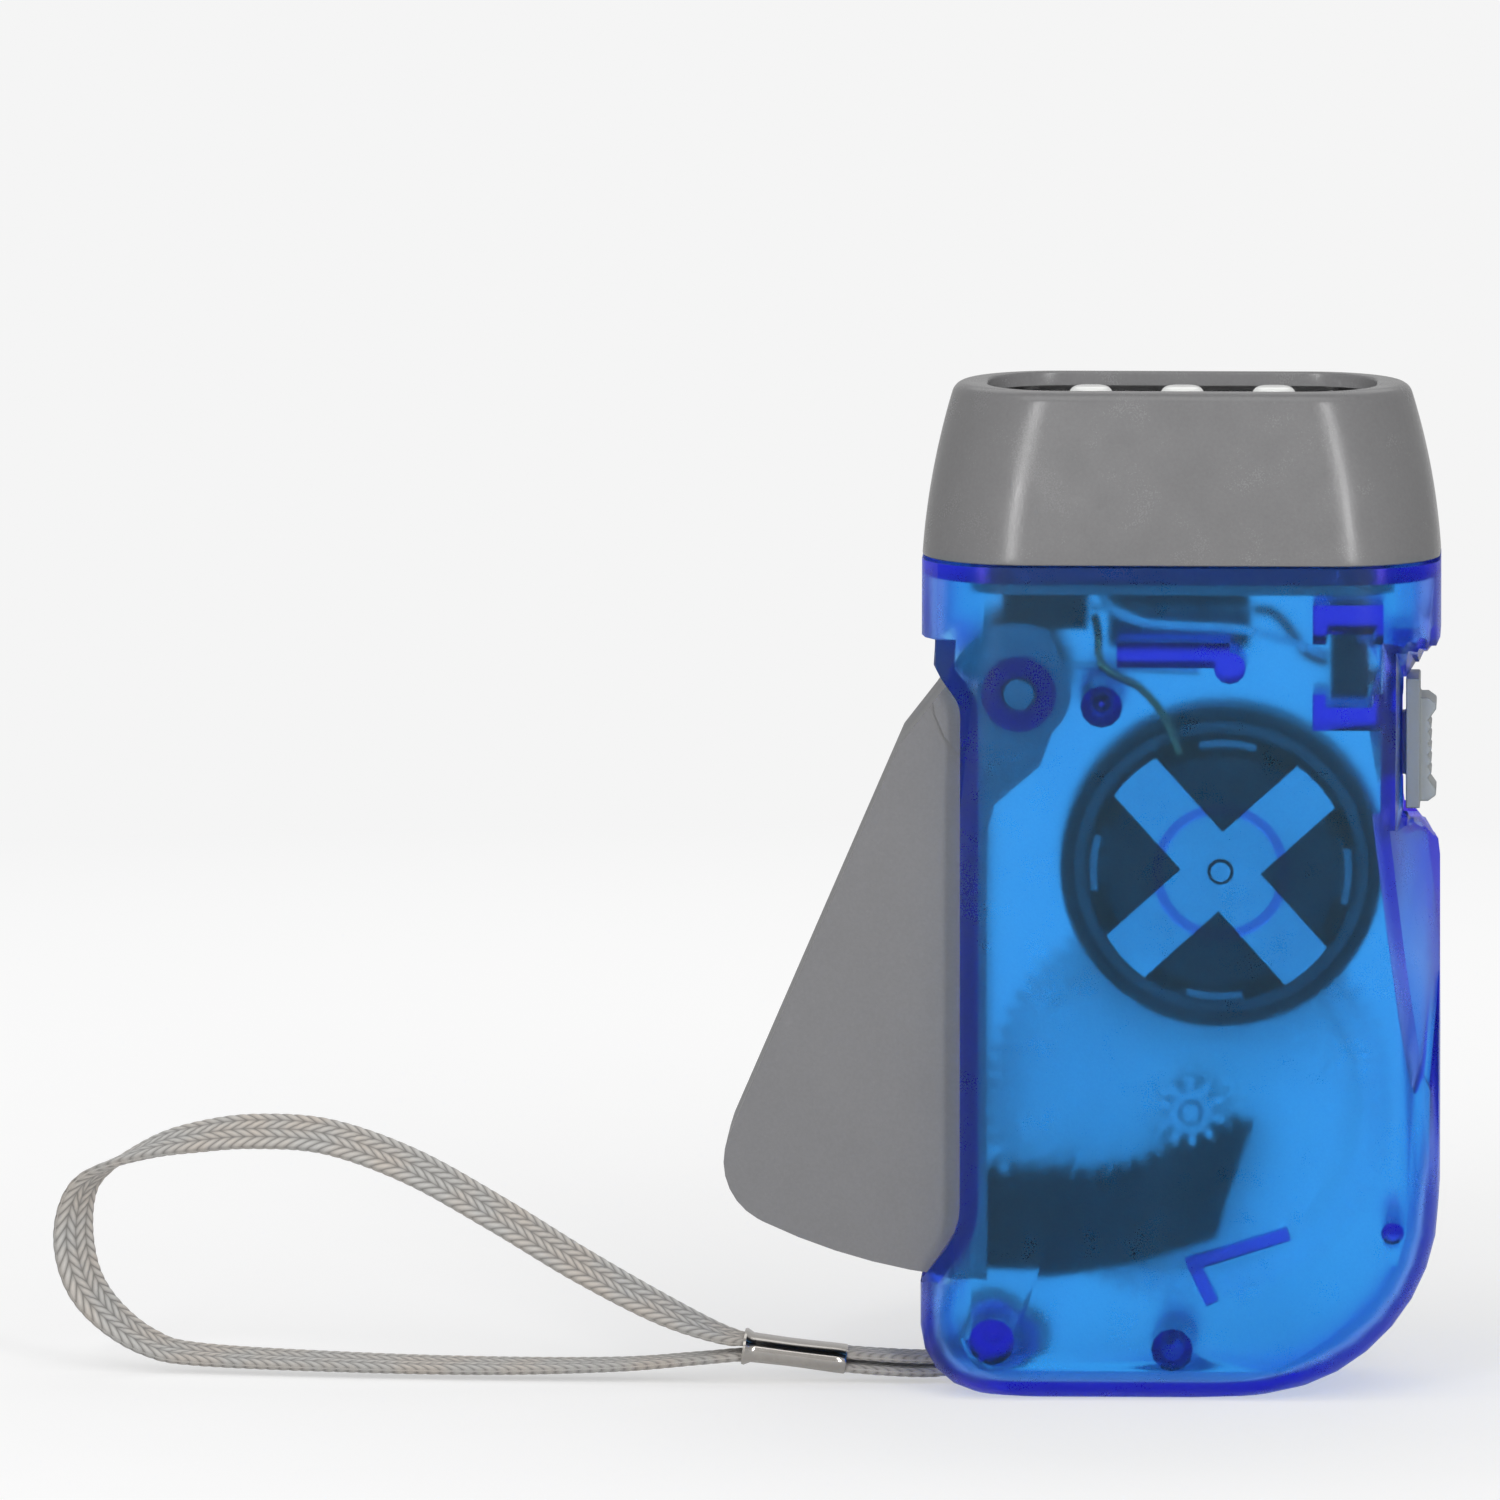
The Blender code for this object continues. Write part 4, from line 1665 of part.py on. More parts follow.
# The model
def build():
    """Make every piece in its place."""
    clear_scene()
    frosted = plain_material("frosted_blue", (0.055, 0.245, 0.680), 0.42, transmission=0.6)
    grey = plain_material("grey_plastic", (0.215, 0.218, 0.225), 0.42)
    lever_grey = plain_material("lever_grey", (0.215, 0.218, 0.225), 0.45)
    pale = plain_material("switch_grey", (0.270, 0.300, 0.315), 0.40)
    chrome = plain_material("chrome", (0.80, 0.80, 0.82), 0.12, metallic=1.0)
    steel = plain_material("steel", (0.56, 0.57, 0.58), 0.28, metallic=1.0)
    lamp = plain_material("led_white", (0.86, 0.87, 0.84), 0.12)
    board = plain_material("board_green", (0.05, 0.22, 0.10), 0.50)
    black = plain_material("black_plastic", (0.025, 0.027, 0.032), 0.45)
    dark = plain_material("dark_core", (0.020, 0.021, 0.025), 0.40)
    natural = plain_material("natural_plastic", (0.80, 0.80, 0.77), 0.40)
    magnet = plain_material("magnet", (0.06, 0.06, 0.065), 0.45)
    copper = plain_material("copper_wire", (0.62, 0.25, 0.10), 0.32, metallic=0.9)
    sleeve = plain_material("battery_sleeve", (0.05, 0.09, 0.11), 0.35)
    wire_white = plain_material("wire_white", (0.72, 0.72, 0.70), 0.45)
    wire_red = plain_material("wire_red", (0.55, 0.04, 0.03), 0.45)
    webbing = plain_material("strap_webbing", (0.55, 0.56, 0.57), 0.85)

    lever_left = min(x for x, _ in lever_outline()) + PIVOT_X
    root = empty("flashlight", (-(lever_left + HALF_WIDTH) / 2, 0, 0))
    lever_axis = empty("lever_axis", (PIVOT_X, 0, PIVOT_Z), root)
    gear_axis = empty("gear_axis", (GEAR_X, 0, GEAR_Z), root)
    fly_axis = empty("flywheel_axis", (FLY_X, 0, FLY_Z), root)

    shell = case_shell()
    smoothed(place("front_shell", front_shell(shell), frosted, root))
    smoothed(place("back_shell", back_shell(shell), frosted, root))
    screw = case_screw()
    seat = HALF_DEPTH - COUNTERBORE_DEPTH + FIT_GAP
    smoothed(place("case_screw_high", screw, steel, root, (PILLAR_HIGH_X, seat, PILLAR_HIGH_Z)))
    smoothed(place("case_screw_low", screw, steel, root, (PILLAR_LOW_X, seat, PILLAR_LOW_Z)))

    smoothed(place("head_bezel", head_bezel(), grey, root))
    smoothed(place("reflector_plate", reflector_plate(), chrome, root))
    dome = led()
    for index, x in enumerate(led_places()):
        smoothed(place(f"led_{index + 1}", dome, lamp, root, (x, 0, LED_BASE)))
    half = BOARD_WIDTH / 2
    slab = skin([
        rounded_rectangle(-half, half, BOARD_DEPTH / 2, BOARD_RADIUS, level)
        for level in (BOARD_BASE, BOARD_BASE + BOARD_THICKNESS)
    ])
    smoothed(place("led_board", slab, board, root))
    place("rectifier_board", rectifier_board(), dark, root)
    battery = smoothed(place("battery_pack", battery_pack(), sleeve, root, (BATTERY_X, 0, BATTERY_Z)))
    battery.rotation_euler = (0, math.pi / 2, 0)
    battery_end = BATTERY_X - BATTERY_LENGTH / 2
    tab_left = RECTIFIER_LEFT + RECTIFIER_WIDTH + FIT_GAP
    place(
        "battery_tab",
        standing_box(tab_left, battery_end - FIT_GAP, TAB_HALF, BATTERY_Z, BATTERY_Z + TAB_THICKNESS),
        steel, root,
    )

    place("slide_switch", slide_switch(), dark, root)
    place("switch_slider", switch_slider(), pale, root)
    rectifier_right = RECTIFIER_LEFT + RECTIFIER_WIDTH
    route = fitted(
        SWITCH_WIRE_ROUTE,
        (rectifier_right + WIRE_RUN, RECTIFIER_FRONT + WIRE_SIDE_INSET, CASE_HEIGHT - WIRE_TOP_DROP),
        (SWITCH_LEFT - WIRE_END_GAP, SWITCH_FRONT + SWITCH_WIRE_DEPTH, SWITCH_BASE + SWITCH_WIRE_RISE),
    )
    tube("switch_wire", smooth_route(route, WIRE_POINTS), WIRE_RADIUS, wire_white, root)
    route = fitted(
        BATTERY_LEAD_ROUTE,
        (BATTERY_LEFT + BATTERY_LENGTH + BATTERY_LEAD_GAP, 0, BATTERY_Z),
        (SWITCH_LEFT - WIRE_END_GAP, SWITCH_FRONT + BATTERY_LEAD_DEPTH, SWITCH_BASE + BATTERY_LEAD_RISE),
    )
    tube("battery_lead", smooth_route(route, WIRE_POINTS), WIRE_RADIUS, wire_red, root)
    coil_route = fitted(
        COIL_LEAD_ROUTE,
        (FLY_X - COIL_LEAD_RUN, FLY_FRONT - COIL_LEAD_DEPTH, FLY_Z + BOBBIN_RADIUS),
        (rectifier_right + LEAD_RUN, RECTIFIER_FRONT + WIRE_SIDE_INSET, RECTIFIER_BASE + LEAD_RISE),
    )
    for index in range(2):
        route = [(x, y - COIL_LEAD_SHIFT * index, z) for x, y, z in coil_route]
        tube(f"coil_lead_{index + 1}", smooth_route(route, WIRE_POINTS), LEAD_RADIUS, copper, root)

    smoothed(place("squeeze_lever", squeeze_lever(), lever_grey, lever_axis))
    smoothed(place("toothed_arc", toothed_arc(), black, lever_axis))
    pin_end = INNER_DEPTH - PIN_END_GAP
    pivot_pin = cylinder(PIN_RADIUS, -pin_end, pin_end, ROUND_STEPS)
    smoothed(place("lever_pivot_pin", pivot_pin, steel, lever_axis))
    wound = spring_points()
    tube("lever_spring", wound, SPRING_WIRE / 2, steel, lever_axis)
    print(f"least gap of the lever spring: {least_gap(wound, SPRING_WIRE) * 1000:.2f} mm")

    smoothed(place("drive_gear", drive_gear(), natural, gear_axis))
    smoothed(place("sector_pinion", sector_pinion(), natural, gear_axis))
    shaft = cylinder(GEAR_SHAFT_RADIUS, GEAR_SHAFT_FRONT, INNER_DEPTH - PIN_END_GAP, SMALL_STEPS)
    smoothed(place("gear_shaft", shaft, steel, gear_axis))
    washer = turned((
        (SHAFT_BORE, WASHER_FRONT),
        (WASHER_RADIUS, WASHER_FRONT),
        (WASHER_RADIUS, WASHER_FRONT + WASHER_THICKNESS),
        (SHAFT_BORE, WASHER_FRONT + WASHER_THICKNESS),
    ), SMALL_STEPS, ring=True)
    smoothed(place("gear_washer", washer, steel, gear_axis))

    smoothed(place("flywheel", flywheel(), black, fly_axis))
    smoothed(place("ring_magnet", ring_magnet(), magnet, fly_axis))
    fly_shaft = cylinder(SHAFT_RADIUS, PIN_END_GAP - INNER_DEPTH, INNER_DEPTH - PIN_END_GAP, SMALL_STEPS)
    smoothed(place("flywheel_shaft", fly_shaft, steel, fly_axis))
    front_poles = pole_plate(FRONT_POLE_FACE, FRONT_FINGER_END, POLE_TURN)
    smoothed(place("front_pole_plate", front_poles, steel, fly_axis))
    rear_turn = POLE_TURN + math.pi / POLE_COUNT
    rear_poles = pole_plate(REAR_POLE_FACE + POLE_THICKNESS, REAR_FINGER_END, rear_turn)
    smoothed(place("rear_pole_plate", rear_poles, steel, fly_axis))
    smoothed(place("coil_bobbin", coil_bobbin(), natural, fly_axis))
    smoothed(place("coil_winding", coil_winding(), copper, fly_axis))

    route = smooth_route(STRAP_ROUTE, STRAP_POINTS, STRAP_CURL)
    flat = [(x, z, -y) for x, y, z, _ in route]
    tilts = [math.radians(row[3]) for row in route]
    half = (STRAP_WIDTH - STRAP_THICKNESS) / 2
    strap = tube("wrist_strap", flat, STRAP_THICKNESS / 2, webbing, root, 1, half, tilts)
    strap.rotation_euler = (math.pi / 2, 0, 0)
    ferrule = smoothed(place("strap_ferrule", strap_ferrule(), chrome, root, (FERRULE_X, 0, FERRULE_Z)))
    ferrule.rotation_euler = (0, FERRULE_TILT, 0)


build()
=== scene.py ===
"""Studio scene of a squeeze dynamo flashlight in a frosted, see-through blue case.

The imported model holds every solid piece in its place. This file gives each one
its finish, lays finer surfaces over the pieces that show, and sets a pale floor,
soft light and the camera. Everything is in metres, +Z is up and -Y is the front.
"""

from __future__ import annotations

import json
import logging
import math
from dataclasses import dataclass
from enum import Enum

import bmesh
import bpy
import numpy as np
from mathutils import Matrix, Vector
from mathutils.bvhtree import BVHTree
from numpy.typing import NDArray

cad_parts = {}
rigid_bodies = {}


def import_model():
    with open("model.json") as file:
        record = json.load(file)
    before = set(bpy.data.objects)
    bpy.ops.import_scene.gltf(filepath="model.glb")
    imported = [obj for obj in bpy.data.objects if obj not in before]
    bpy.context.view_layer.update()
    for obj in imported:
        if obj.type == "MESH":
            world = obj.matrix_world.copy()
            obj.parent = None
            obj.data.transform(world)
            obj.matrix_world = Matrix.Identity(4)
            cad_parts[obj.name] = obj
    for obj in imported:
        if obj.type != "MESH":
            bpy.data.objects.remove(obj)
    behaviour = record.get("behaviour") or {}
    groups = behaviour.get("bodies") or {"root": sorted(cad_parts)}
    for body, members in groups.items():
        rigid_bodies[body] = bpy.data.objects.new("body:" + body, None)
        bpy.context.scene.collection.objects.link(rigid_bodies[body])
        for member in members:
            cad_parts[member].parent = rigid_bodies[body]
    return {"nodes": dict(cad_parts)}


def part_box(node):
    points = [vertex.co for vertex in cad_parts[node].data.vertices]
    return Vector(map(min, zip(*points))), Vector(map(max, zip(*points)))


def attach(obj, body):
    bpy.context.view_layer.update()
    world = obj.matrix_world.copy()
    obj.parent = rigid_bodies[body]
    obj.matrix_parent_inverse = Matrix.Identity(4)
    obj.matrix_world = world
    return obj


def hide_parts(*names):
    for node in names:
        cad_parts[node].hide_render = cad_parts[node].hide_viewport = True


LOG = logging.getLogger("flashlight")
Array = NDArray[np.float64]
Colour = tuple[float, float, float]
MM = 0.001
# Face attribute: mask of the painted shade where the case's plastic is thick
THICK_SHADE = "thick"
PATTERN = "pattern"
# Ranges that the values of a noise are read over, a narrow and a broad one
NARROW = (0.38, 0.62)
BROAD = (0.3, 0.7)


# Surfaces
@dataclass
class Surface:
    """Points, faces and pattern coordinates of a piece while it is worked out.

    Attributes:
        points: Places, one row of three for each point.
        quads: Point numbers of the four-sided faces.
        tris: Point numbers of the three-sided faces.
        pattern: Pattern coordinates of the points, in metres along and across, or None.
    """

    points: Array
    quads: NDArray[np.int64]
    tris: NDArray[np.int64]
    pattern: Array | None = None

    def piece(self, name: str, sharp: float = 40.0) -> bpy.types.Object:
        """Make the object.

        Args:
            name: The object's name.
            sharp: Edges that turn more than this, in degrees, stay sharp.

        Returns:
            A linked mesh object at the origin, its faces turned outwards.
        """
        mesh = bpy.data.meshes.new(name)
        corners = np.concatenate((self.quads.ravel(), self.tris.ravel())).astype(np.int32)
        starts = np.concatenate((
            np.arange(len(self.quads)) * 4,
            len(self.quads) * 4 + np.arange(len(self.tris)) * 3,
        )).astype(np.int32)
        mesh.vertices.add(len(self.points))
        mesh.loops.add(len(corners))
        mesh.polygons.add(len(starts))
        mesh.vertices.foreach_set("co", self.points.astype(np.float32).ravel())
        mesh.loops.foreach_set("vertex_index", corners)
        mesh.polygons.foreach_set("loop_start", starts)
        mesh.update(calc_edges=True)
        if self.pattern is not None:
            layer = mesh.uv_layers.new(name=PATTERN)
            layer.data.foreach_set("uv", self.pattern[corners].astype(np.float32).ravel())
        turned_outwards(mesh)
        mesh.shade_smooth()
        mesh.set_sharp_from_angle(angle=math.radians(sharp))
        return linked(name, mesh)


def linked(name: str, data: bpy.types.ID) -> bpy.types.Object:
    """New object in the scene.

    Args:
        name: The object's name.
        data: Its mesh, lamp or camera.

    Returns:
        The object, at the origin.
    """
    item = bpy.data.objects.new(name, data)
    bpy.context.scene.collection.objects.link(item)
    return item


def pointed(item: bpy.types.Object, place: Vector, target: Vector) -> None:
    """Put a lamp or the camera in its place and point it at a target.

    Args:
        item: The lamp or the camera.
        place: Where it stands.
        target: What it looks at.
    """
    item.location = place
    item.rotation_mode = "QUATERNION"
    item.rotation_quaternion = (target - place).to_track_quat("-Z", "Y")


def turned_outwards(mesh: bpy.types.Mesh, merge: float = 0.0) -> None:
    """Point a closed mesh's faces outwards.

    Args:
        mesh: The mesh.
        merge: Points closer than this are merged first, and flat faces joined.
    """
    work = bmesh.new()
    work.from_mesh(mesh)
    if merge:
        flat = math.radians(0.5)
        bmesh.ops.remove_doubles(work, verts=work.verts, dist=merge)
        bmesh.ops.dissolve_limit(work, angle_limit=flat, verts=work.verts, edges=work.edges)
    bmesh.ops.recalc_face_normals(work, faces=work.faces)
    work.to_mesh(mesh)
    work.free()


def lattice(points: Array, round_u: bool = False, round_v: bool = False) -> Surface:
    """Quads over a grid of points.

    Args:
        points: Places as (rows, columns, 3).
        round_u: The last row joins the first.
        round_v: The last column joins the first.

    Returns:
        The surface, whose face (i, j) spans rows i and i + 1, columns j and j + 1.
    """
    rows, columns = points.shape[:2]
    number = np.arange(rows * columns).reshape(rows, columns)
    if round_u:
        number = np.vstack((number, number[:1]))
    if round_v:
        number = np.hstack((number, number[:, :1]))
    corners = (number[:-1, :-1], number[1:, :-1], number[1:, 1:], number[:-1, 1:])
    quads = np.stack(corners, axis=-1).reshape(-1, 4)
    return Surface(points.reshape(-1, 3), quads, np.zeros((0, 3), dtype=np.int64))


def closed_tube(rings: Array) -> Surface:
    """Closed body through rings, each end closed by a fan to its middle.

    Args:
        rings: Places as (rings, points, 3).

    Returns:
        The surface, whose last two points are the middles of its ends.
    """
    body = lattice(rings, round_v=True)
    count, around = rings.shape[:2]
    poles = np.stack((rings[0].mean(axis=0), rings[-1].mean(axis=0)))
    first = np.arange(around)
    last = first + (count - 1) * around
    pole = count * around
    low = np.stack((first, np.roll(first, -1), np.full(around, pole)), axis=1)
    high = np.stack((np.roll(last, -1), last, np.full(around, pole + 1)), axis=1)
    return Surface(np.vstack((body.points, poles)), body.quads, np.vstack((low, high)))


def bent(base: Array, power: float) -> Array:
    """Each value's size raised to a power, with its sign kept."""
    return np.sign(base) * np.abs(base) ** power


def scaled_to_one(rows: Array) -> Array:
    """Each row as a direction of length one."""
    return rows / np.linalg.norm(rows, axis=1)[:, None]


def distances(places: Array) -> Array:
    """Distance of each place from the first, along the line through them."""
    return np.concatenate(([0.0], np.cumsum(np.linalg.norm(np.diff(places, axis=0), axis=1))))


def rounded_loop(
    half_x: float, half_y: float, radius: float, level: float, corner: int = 14,
) -> Array:
    """Loop of a rounded rectangle at a height.

    Each corner is a quarter circle about a centre that lies one radius in from
    both sides.

    Args:
        half_x: Half the width.
        half_y: Half the depth.
        radius: Radius of the corners.
        level: Height of the loop.
        corner: Points on each corner.

    Returns:
        Places as (4 * corner, 3), counter-clockwise from above.
    """
    turn = np.linspace(0, math.pi / 2, corner)
    angle = np.concatenate([turn + quarter * math.pi / 2 for quarter in range(4)])
    side_x = np.repeat([1.0, -1.0, -1.0, 1.0], corner)
    side_y = np.repeat([1.0, 1.0, -1.0, -1.0], corner)
    x = side_x * (half_x - radius) + radius * np.cos(angle)
    y = side_y * (half_y - radius) + radius * np.sin(angle)
    return np.stack((x, y, np.full_like(x, level)), axis=1)


def turned(radii: Array, places: Array, steps: int = 48) -> Array:
    """Rings of a turned shape about Z: a circle of each radius at each height.

    Args:
        radii: Radius of each ring.
        places: Height of each ring.
        steps: Points on each ring.

    Returns:
        Places as (rings, steps, 3).
    """
    angle = np.linspace(0, 2 * math.pi, steps, endpoint=False)
    x = radii[:, None] * np.cos(angle)
    y = radii[:, None] * np.sin(angle)
    return np.stack((x, y, np.broadcast_to(places[:, None], x.shape)), axis=-1)


def laid_back(points: Array) -> Array:
    """Points turned so that their Z axis lies along +Y."""
    return np.stack((points[..., 0], points[..., 2], -points[..., 1]), axis=-1)


def through(route: Array, step: float) -> Array:
    """Points along a smooth curve through a route's points.

    Between two points the curve is the cubic whose slope at each point is half
    the difference of that point's neighbours. It is then read at equal steps.

    Args:
        route: The route's points, whose first three columns are places.
        step: Distance between the points that are returned.

    Returns:
        The same columns, read along the curve.
    """
    padded = np.vstack((2 * route[0] - route[1], route, 2 * route[-1] - route[-2]))
    p0, p1, p2, p3 = (padded[k:len(padded) - 3 + k, None, :] for k in range(4))
    share = np.linspace(0, 1, 24, endpoint=False)[None, :, None]
    fine = 0.5 * (
        2 * p1 + (p2 - p0) * share
        + (2 * p0 - 5 * p1 + 4 * p2 - p3) * share ** 2
        + (3 * p1 - p0 - 3 * p2 + p3) * share ** 3
    )
    fine = np.vstack((fine.reshape(-1, route.shape[1]), route[-1:]))
    along = distances(fine[:, :3])
    wanted = np.linspace(0, along[-1], max(2, round(along[-1] / step) + 1))
    return np.stack([np.interp(wanted, along, column) for column in fine.T], axis=1)


# Node trees
class Graph:
    """Short hand for filling a node tree."""

    def __init__(self, tree: bpy.types.NodeTree) -> None:
        """Keep the tree."""
        self.tree = tree

    def add(
        self, kind: str, settings: dict[str, object] | None = None, **inputs: object,
    ) -> bpy.types.Node:
        """Add a node.

        Args:
            kind: The node's type name.
            settings: Properties to set on the node.
            **inputs: Its inputs, as fill takes them.

        Returns:
            The new node.
        """
        node = self.tree.nodes.new(kind)
        for name, value in (settings or {}).items():
            setattr(node, name, value)
        self.fill(node, **inputs)
        return node

    def fill(self, node: bpy.types.Node, **inputs: object) -> None:
        """Set or link a node's inputs.

        Args:
            node: The node.
            **inputs: Values or sockets, with _ for each space in an input's name.
        """
        for name, value in inputs.items():
            self.feed(node.inputs[name.replace("_", " ")], value)

    def feed(self, socket: bpy.types.NodeSocket, value: object) -> None:
        """Link a socket to a socket, or set it to a value.

        Args:
            socket: Input of a node.
            value: Socket, number, vector or colour.
        """
        if isinstance(value, bpy.types.NodeSocket):
            self.tree.links.new(value, socket)
        elif isinstance(value, tuple) and len(value) == 3 and socket.type == "RGBA":
            socket.default_value = (*value, 1.0)
        else:
            socket.default_value = value

    def calc(
        self, operation: str, first: object, second: object = 0.0, clamp: bool = False,
    ) -> bpy.types.NodeSocket:
        """Reckon with two values.

        Args:
            operation: The Math node's operation.
            first: Value or socket.
            second: Value or socket, which some operations leave unused.
            clamp: Hold the result between 0 and 1.

        Returns:
            The result's socket.
        """
        node = self.tree.nodes.new("ShaderNodeMath")
        node.operation = operation
        node.use_clamp = clamp
        self.feed(node.inputs[0], first)
        self.feed(node.inputs[1], second)
        return node.outputs[0]

    def blend(self, first: object, second: object, share: float) -> bpy.types.NodeSocket:
        """Sum of two values, the first times a share and the second times the rest."""
        rest = self.calc("MULTIPLY", second, 1 - share)
        return self.calc("ADD", self.calc("MULTIPLY", first, share), rest)

    def noise(
        self, place: object, scale: float, detail: float = 2.0, rough: float = 0.5,
    ) -> bpy.types.NodeSocket:
        """Noise in space.

        Args:
            place: Coordinates.
            scale: Number of waves for each metre, roughly.
            detail: Number of finer layers.
            rough: Strength of each finer layer against the one before.

        Returns:
            Socket of a value about 0.5.
        """
        node = self.add(
            "ShaderNodeTexNoise", Vector=place, Scale=scale, Detail=detail, Roughness=rough,
        )
        return node.outputs["Fac"]

    def spread(
        self, value: object, low: float, high: float, to_low: float = 0.0, to_high: float = 1.0,
    ) -> bpy.types.NodeSocket:
        """Carry a value from one range to another, and hold it there.

        Args:
            value: Value or socket.
            low: Start of the range that it comes from.
            high: End of that range.
            to_low: Start of the range that it goes to.
            to_high: End of that range.

        Returns:
            The result's socket.
        """
        node = self.add(
            "ShaderNodeMapRange", {"clamp": True},
            Value=value, From_Min=low, From_Max=high, To_Min=to_low, To_Max=to_high,
        )
        return node.outputs["Result"]

    def mixed(self, share: object, first: object, second: object) -> bpy.types.NodeSocket:
        """Colour between two colours.

        Args:
            share: How much of the second colour there is, from 0 to 1.
            first: Colour or socket.
            second: Colour or socket.

        Returns:
            The colour's socket.
        """
        node = self.tree.nodes.new("ShaderNodeMix")
        node.data_type = "RGBA"
        colours = [socket for socket in node.inputs if socket.type == "RGBA"]
        self.feed(node.inputs["Factor"], share)
        self.feed(colours[0], first)
        self.feed(colours[1], second)
        return next(socket for socket in node.outputs if socket.type == "RGBA")

    def effect(self, effect: Effect, **inputs: object) -> bpy.types.Node:
        """Add a shared node group, with its inputs as add takes them."""
        group = bpy.data.node_groups[effect.value]
        return self.add("ShaderNodeGroup", {"node_tree": group}, **inputs)


class Effect(Enum):
    """Node groups that several finishes share."""

    GRAIN = "moulded_grain"
    HANDLING = "handling_marks"
    BRAID = "flat_braid"


def group_shell(
    effect: Effect, inputs: dict[str, str], outputs: tuple[str, ...],
) -> tuple[Graph, bpy.types.NodeOutputs, bpy.types.Node]:
    """Start a node group.

    Args:
        effect: Which group this is.
        inputs: Name of each input, with its socket kind.
        outputs: Names of the value outputs.

    Returns:
        Its tree, the sockets that its inputs come from, and its output node.
    """
    tree = bpy.data.node_groups.new(effect.value, "ShaderNodeTree")
    for name, kind in inputs.items():
        tree.interface.new_socket(name, in_out="INPUT", socket_type=kind)
    for name in outputs:
        tree.interface.new_socket(name, in_out="OUTPUT", socket_type="NodeSocketFloat")
    source, target = (tree.nodes.new(f"NodeGroup{side}") for side in ("Input", "Output"))
    return Graph(tree), source.outputs, target


def grain_group() -> None:
    """Grain that a spark-eroded mould leaves: fine pits, a slow waviness and a mottled tone.

    The group takes a place and a size, and puts out Height, Gloss and Tone, each
    about 0.5 on average.
    """
    graph, source, target = group_shell(
        Effect.GRAIN, {"Place": "NodeSocketVector", "Size": "NodeSocketFloat"},
        ("Height", "Gloss", "Tone"),
    )
    scaled = graph.add(
        "ShaderNodeVectorMath", {"operation": "SCALE"},
        Vector=source["Place"], Scale=source["Size"],
    ).outputs["Vector"]
    pits = graph.noise(scaled, scale=3600.0, detail=3.0, rough=0.6)
    sparkle = graph.noise(scaled, scale=7400.0, detail=1.0)
    waves = graph.noise(scaled, scale=260.0)
    tone = graph.noise(source["Place"], scale=38.0, detail=4.0, rough=0.55)
    height, gloss = graph.blend(pits, waves, 0.72), graph.blend(waves, sparkle, 0.6)
    graph.fill(target, Height=height, Gloss=gloss, Tone=tone)


def handling_group() -> None:
    """Marks of handling: thin scuffs that run at a slant, and specks of dust.

    The group takes a place, and puts out Scuffs and Dust, masks from 0 to 1.
    """
    graph, source, target = group_shell(
        Effect.HANDLING, {"Place": "NodeSocketVector"}, ("Scuffs", "Dust"),
    )
    place = source["Place"]
    drawn = graph.add(
        "ShaderNodeMapping", Vector=place, Rotation=(0.4, 0.5, 0.9), Scale=(1.0, 14.0, 1.0),
    )
    patches = graph.noise(place, scale=70.0)
    lines = graph.noise(drawn.outputs["Vector"], scale=240.0, detail=3.0, rough=0.65)
    streaks = graph.spread(lines, 0.64, 0.72)
    cells = graph.add("ShaderNodeTexVoronoi", Vector=place, Scale=900.0).outputs["Distance"]
    specks = graph.spread(cells, 0.16, 0.08)
    scuffs = graph.calc("MULTIPLY", streaks, graph.spread(patches, 0.5, 0.66))
    dust = graph.calc("MULTIPLY", specks, graph.spread(patches, 0.42, 0.6))
    graph.fill(target, Scuffs=scuffs, Dust=dust)


def braid_group() -> None:
    """Yarn of a flat braid on coordinates in metres, along in U and across in V.

    Each column across the band holds slanted stitches, leaning one way and the
    next column the other. A stitch is high along its middle and falls to its edges.
    The group puts out Stitch, from 0 in the grooves to 1, and Fibre.
    """
    names = ("Along", "Across", "Pitch", "Column", "Slant")
    graph, source, target = group_shell(
        Effect.BRAID, dict.fromkeys(names, "NodeSocketFloat"), ("Stitch", "Fibre"),
    )
    calc = graph.calc
    column = calc("DIVIDE", source["Across"], source["Column"])
    number = calc("FLOOR", column)
    side = calc("SUBTRACT", calc("SUBTRACT", column, number), 0.5)
    lean = calc("SUBTRACT", calc("MULTIPLY", calc("FLOORED_MODULO", number, 2.0), 2.0), 1.0)
    shift = calc("MULTIPLY", calc("MULTIPLY", lean, side), source["Slant"])
    phase = calc("ADD", calc("DIVIDE", source["Along"], source["Pitch"]), shift)
    wave = calc("SINE", calc("MULTIPLY", calc("FRACT", phase), math.pi))
    edge = calc("SUBTRACT", 1.0, calc("MULTIPLY", calc("MULTIPLY", side, side), 4.0))
    edge = calc("POWER", calc("MAXIMUM", edge, 0.0), 0.5)
    stitch = calc("MULTIPLY", calc("POWER", wave, 0.7), edge, clamp=True)
    across_strands = calc("MULTIPLY", column, lean)
    strand = calc("MULTIPLY", calc("SUBTRACT", calc("MULTIPLY", phase, 1.6), across_strands), 26.0)
    fibre = graph.add(
        "ShaderNodeCombineXYZ", X=strand, Y=calc("MULTIPLY", phase, 2.0), Z=number,
    )
    fibres = graph.noise(fibre.outputs["Vector"], scale=1.3, detail=3.0, rough=0.7)
    graph.fill(target, Stitch=stitch, Fibre=fibres)


# Finishes
# Share of dust in the handling marks, and how a mark pales the colour: factor and lift
DUST_SHARE = 0.6
PALER = (1.15, 0.03)


class Mould(Enum):
    """Surface that a mould or tool leaves: size of the grain, depth in metres, spread of gloss."""

    FROSTED = (1.0, 0.000030, 0.10)
    SPARKED = (0.85, 0.000026, 0.12)
    SATIN = (0.5, 0.000010, 0.08)
    POLISHED = (0.3, 0.000002, 0.04)


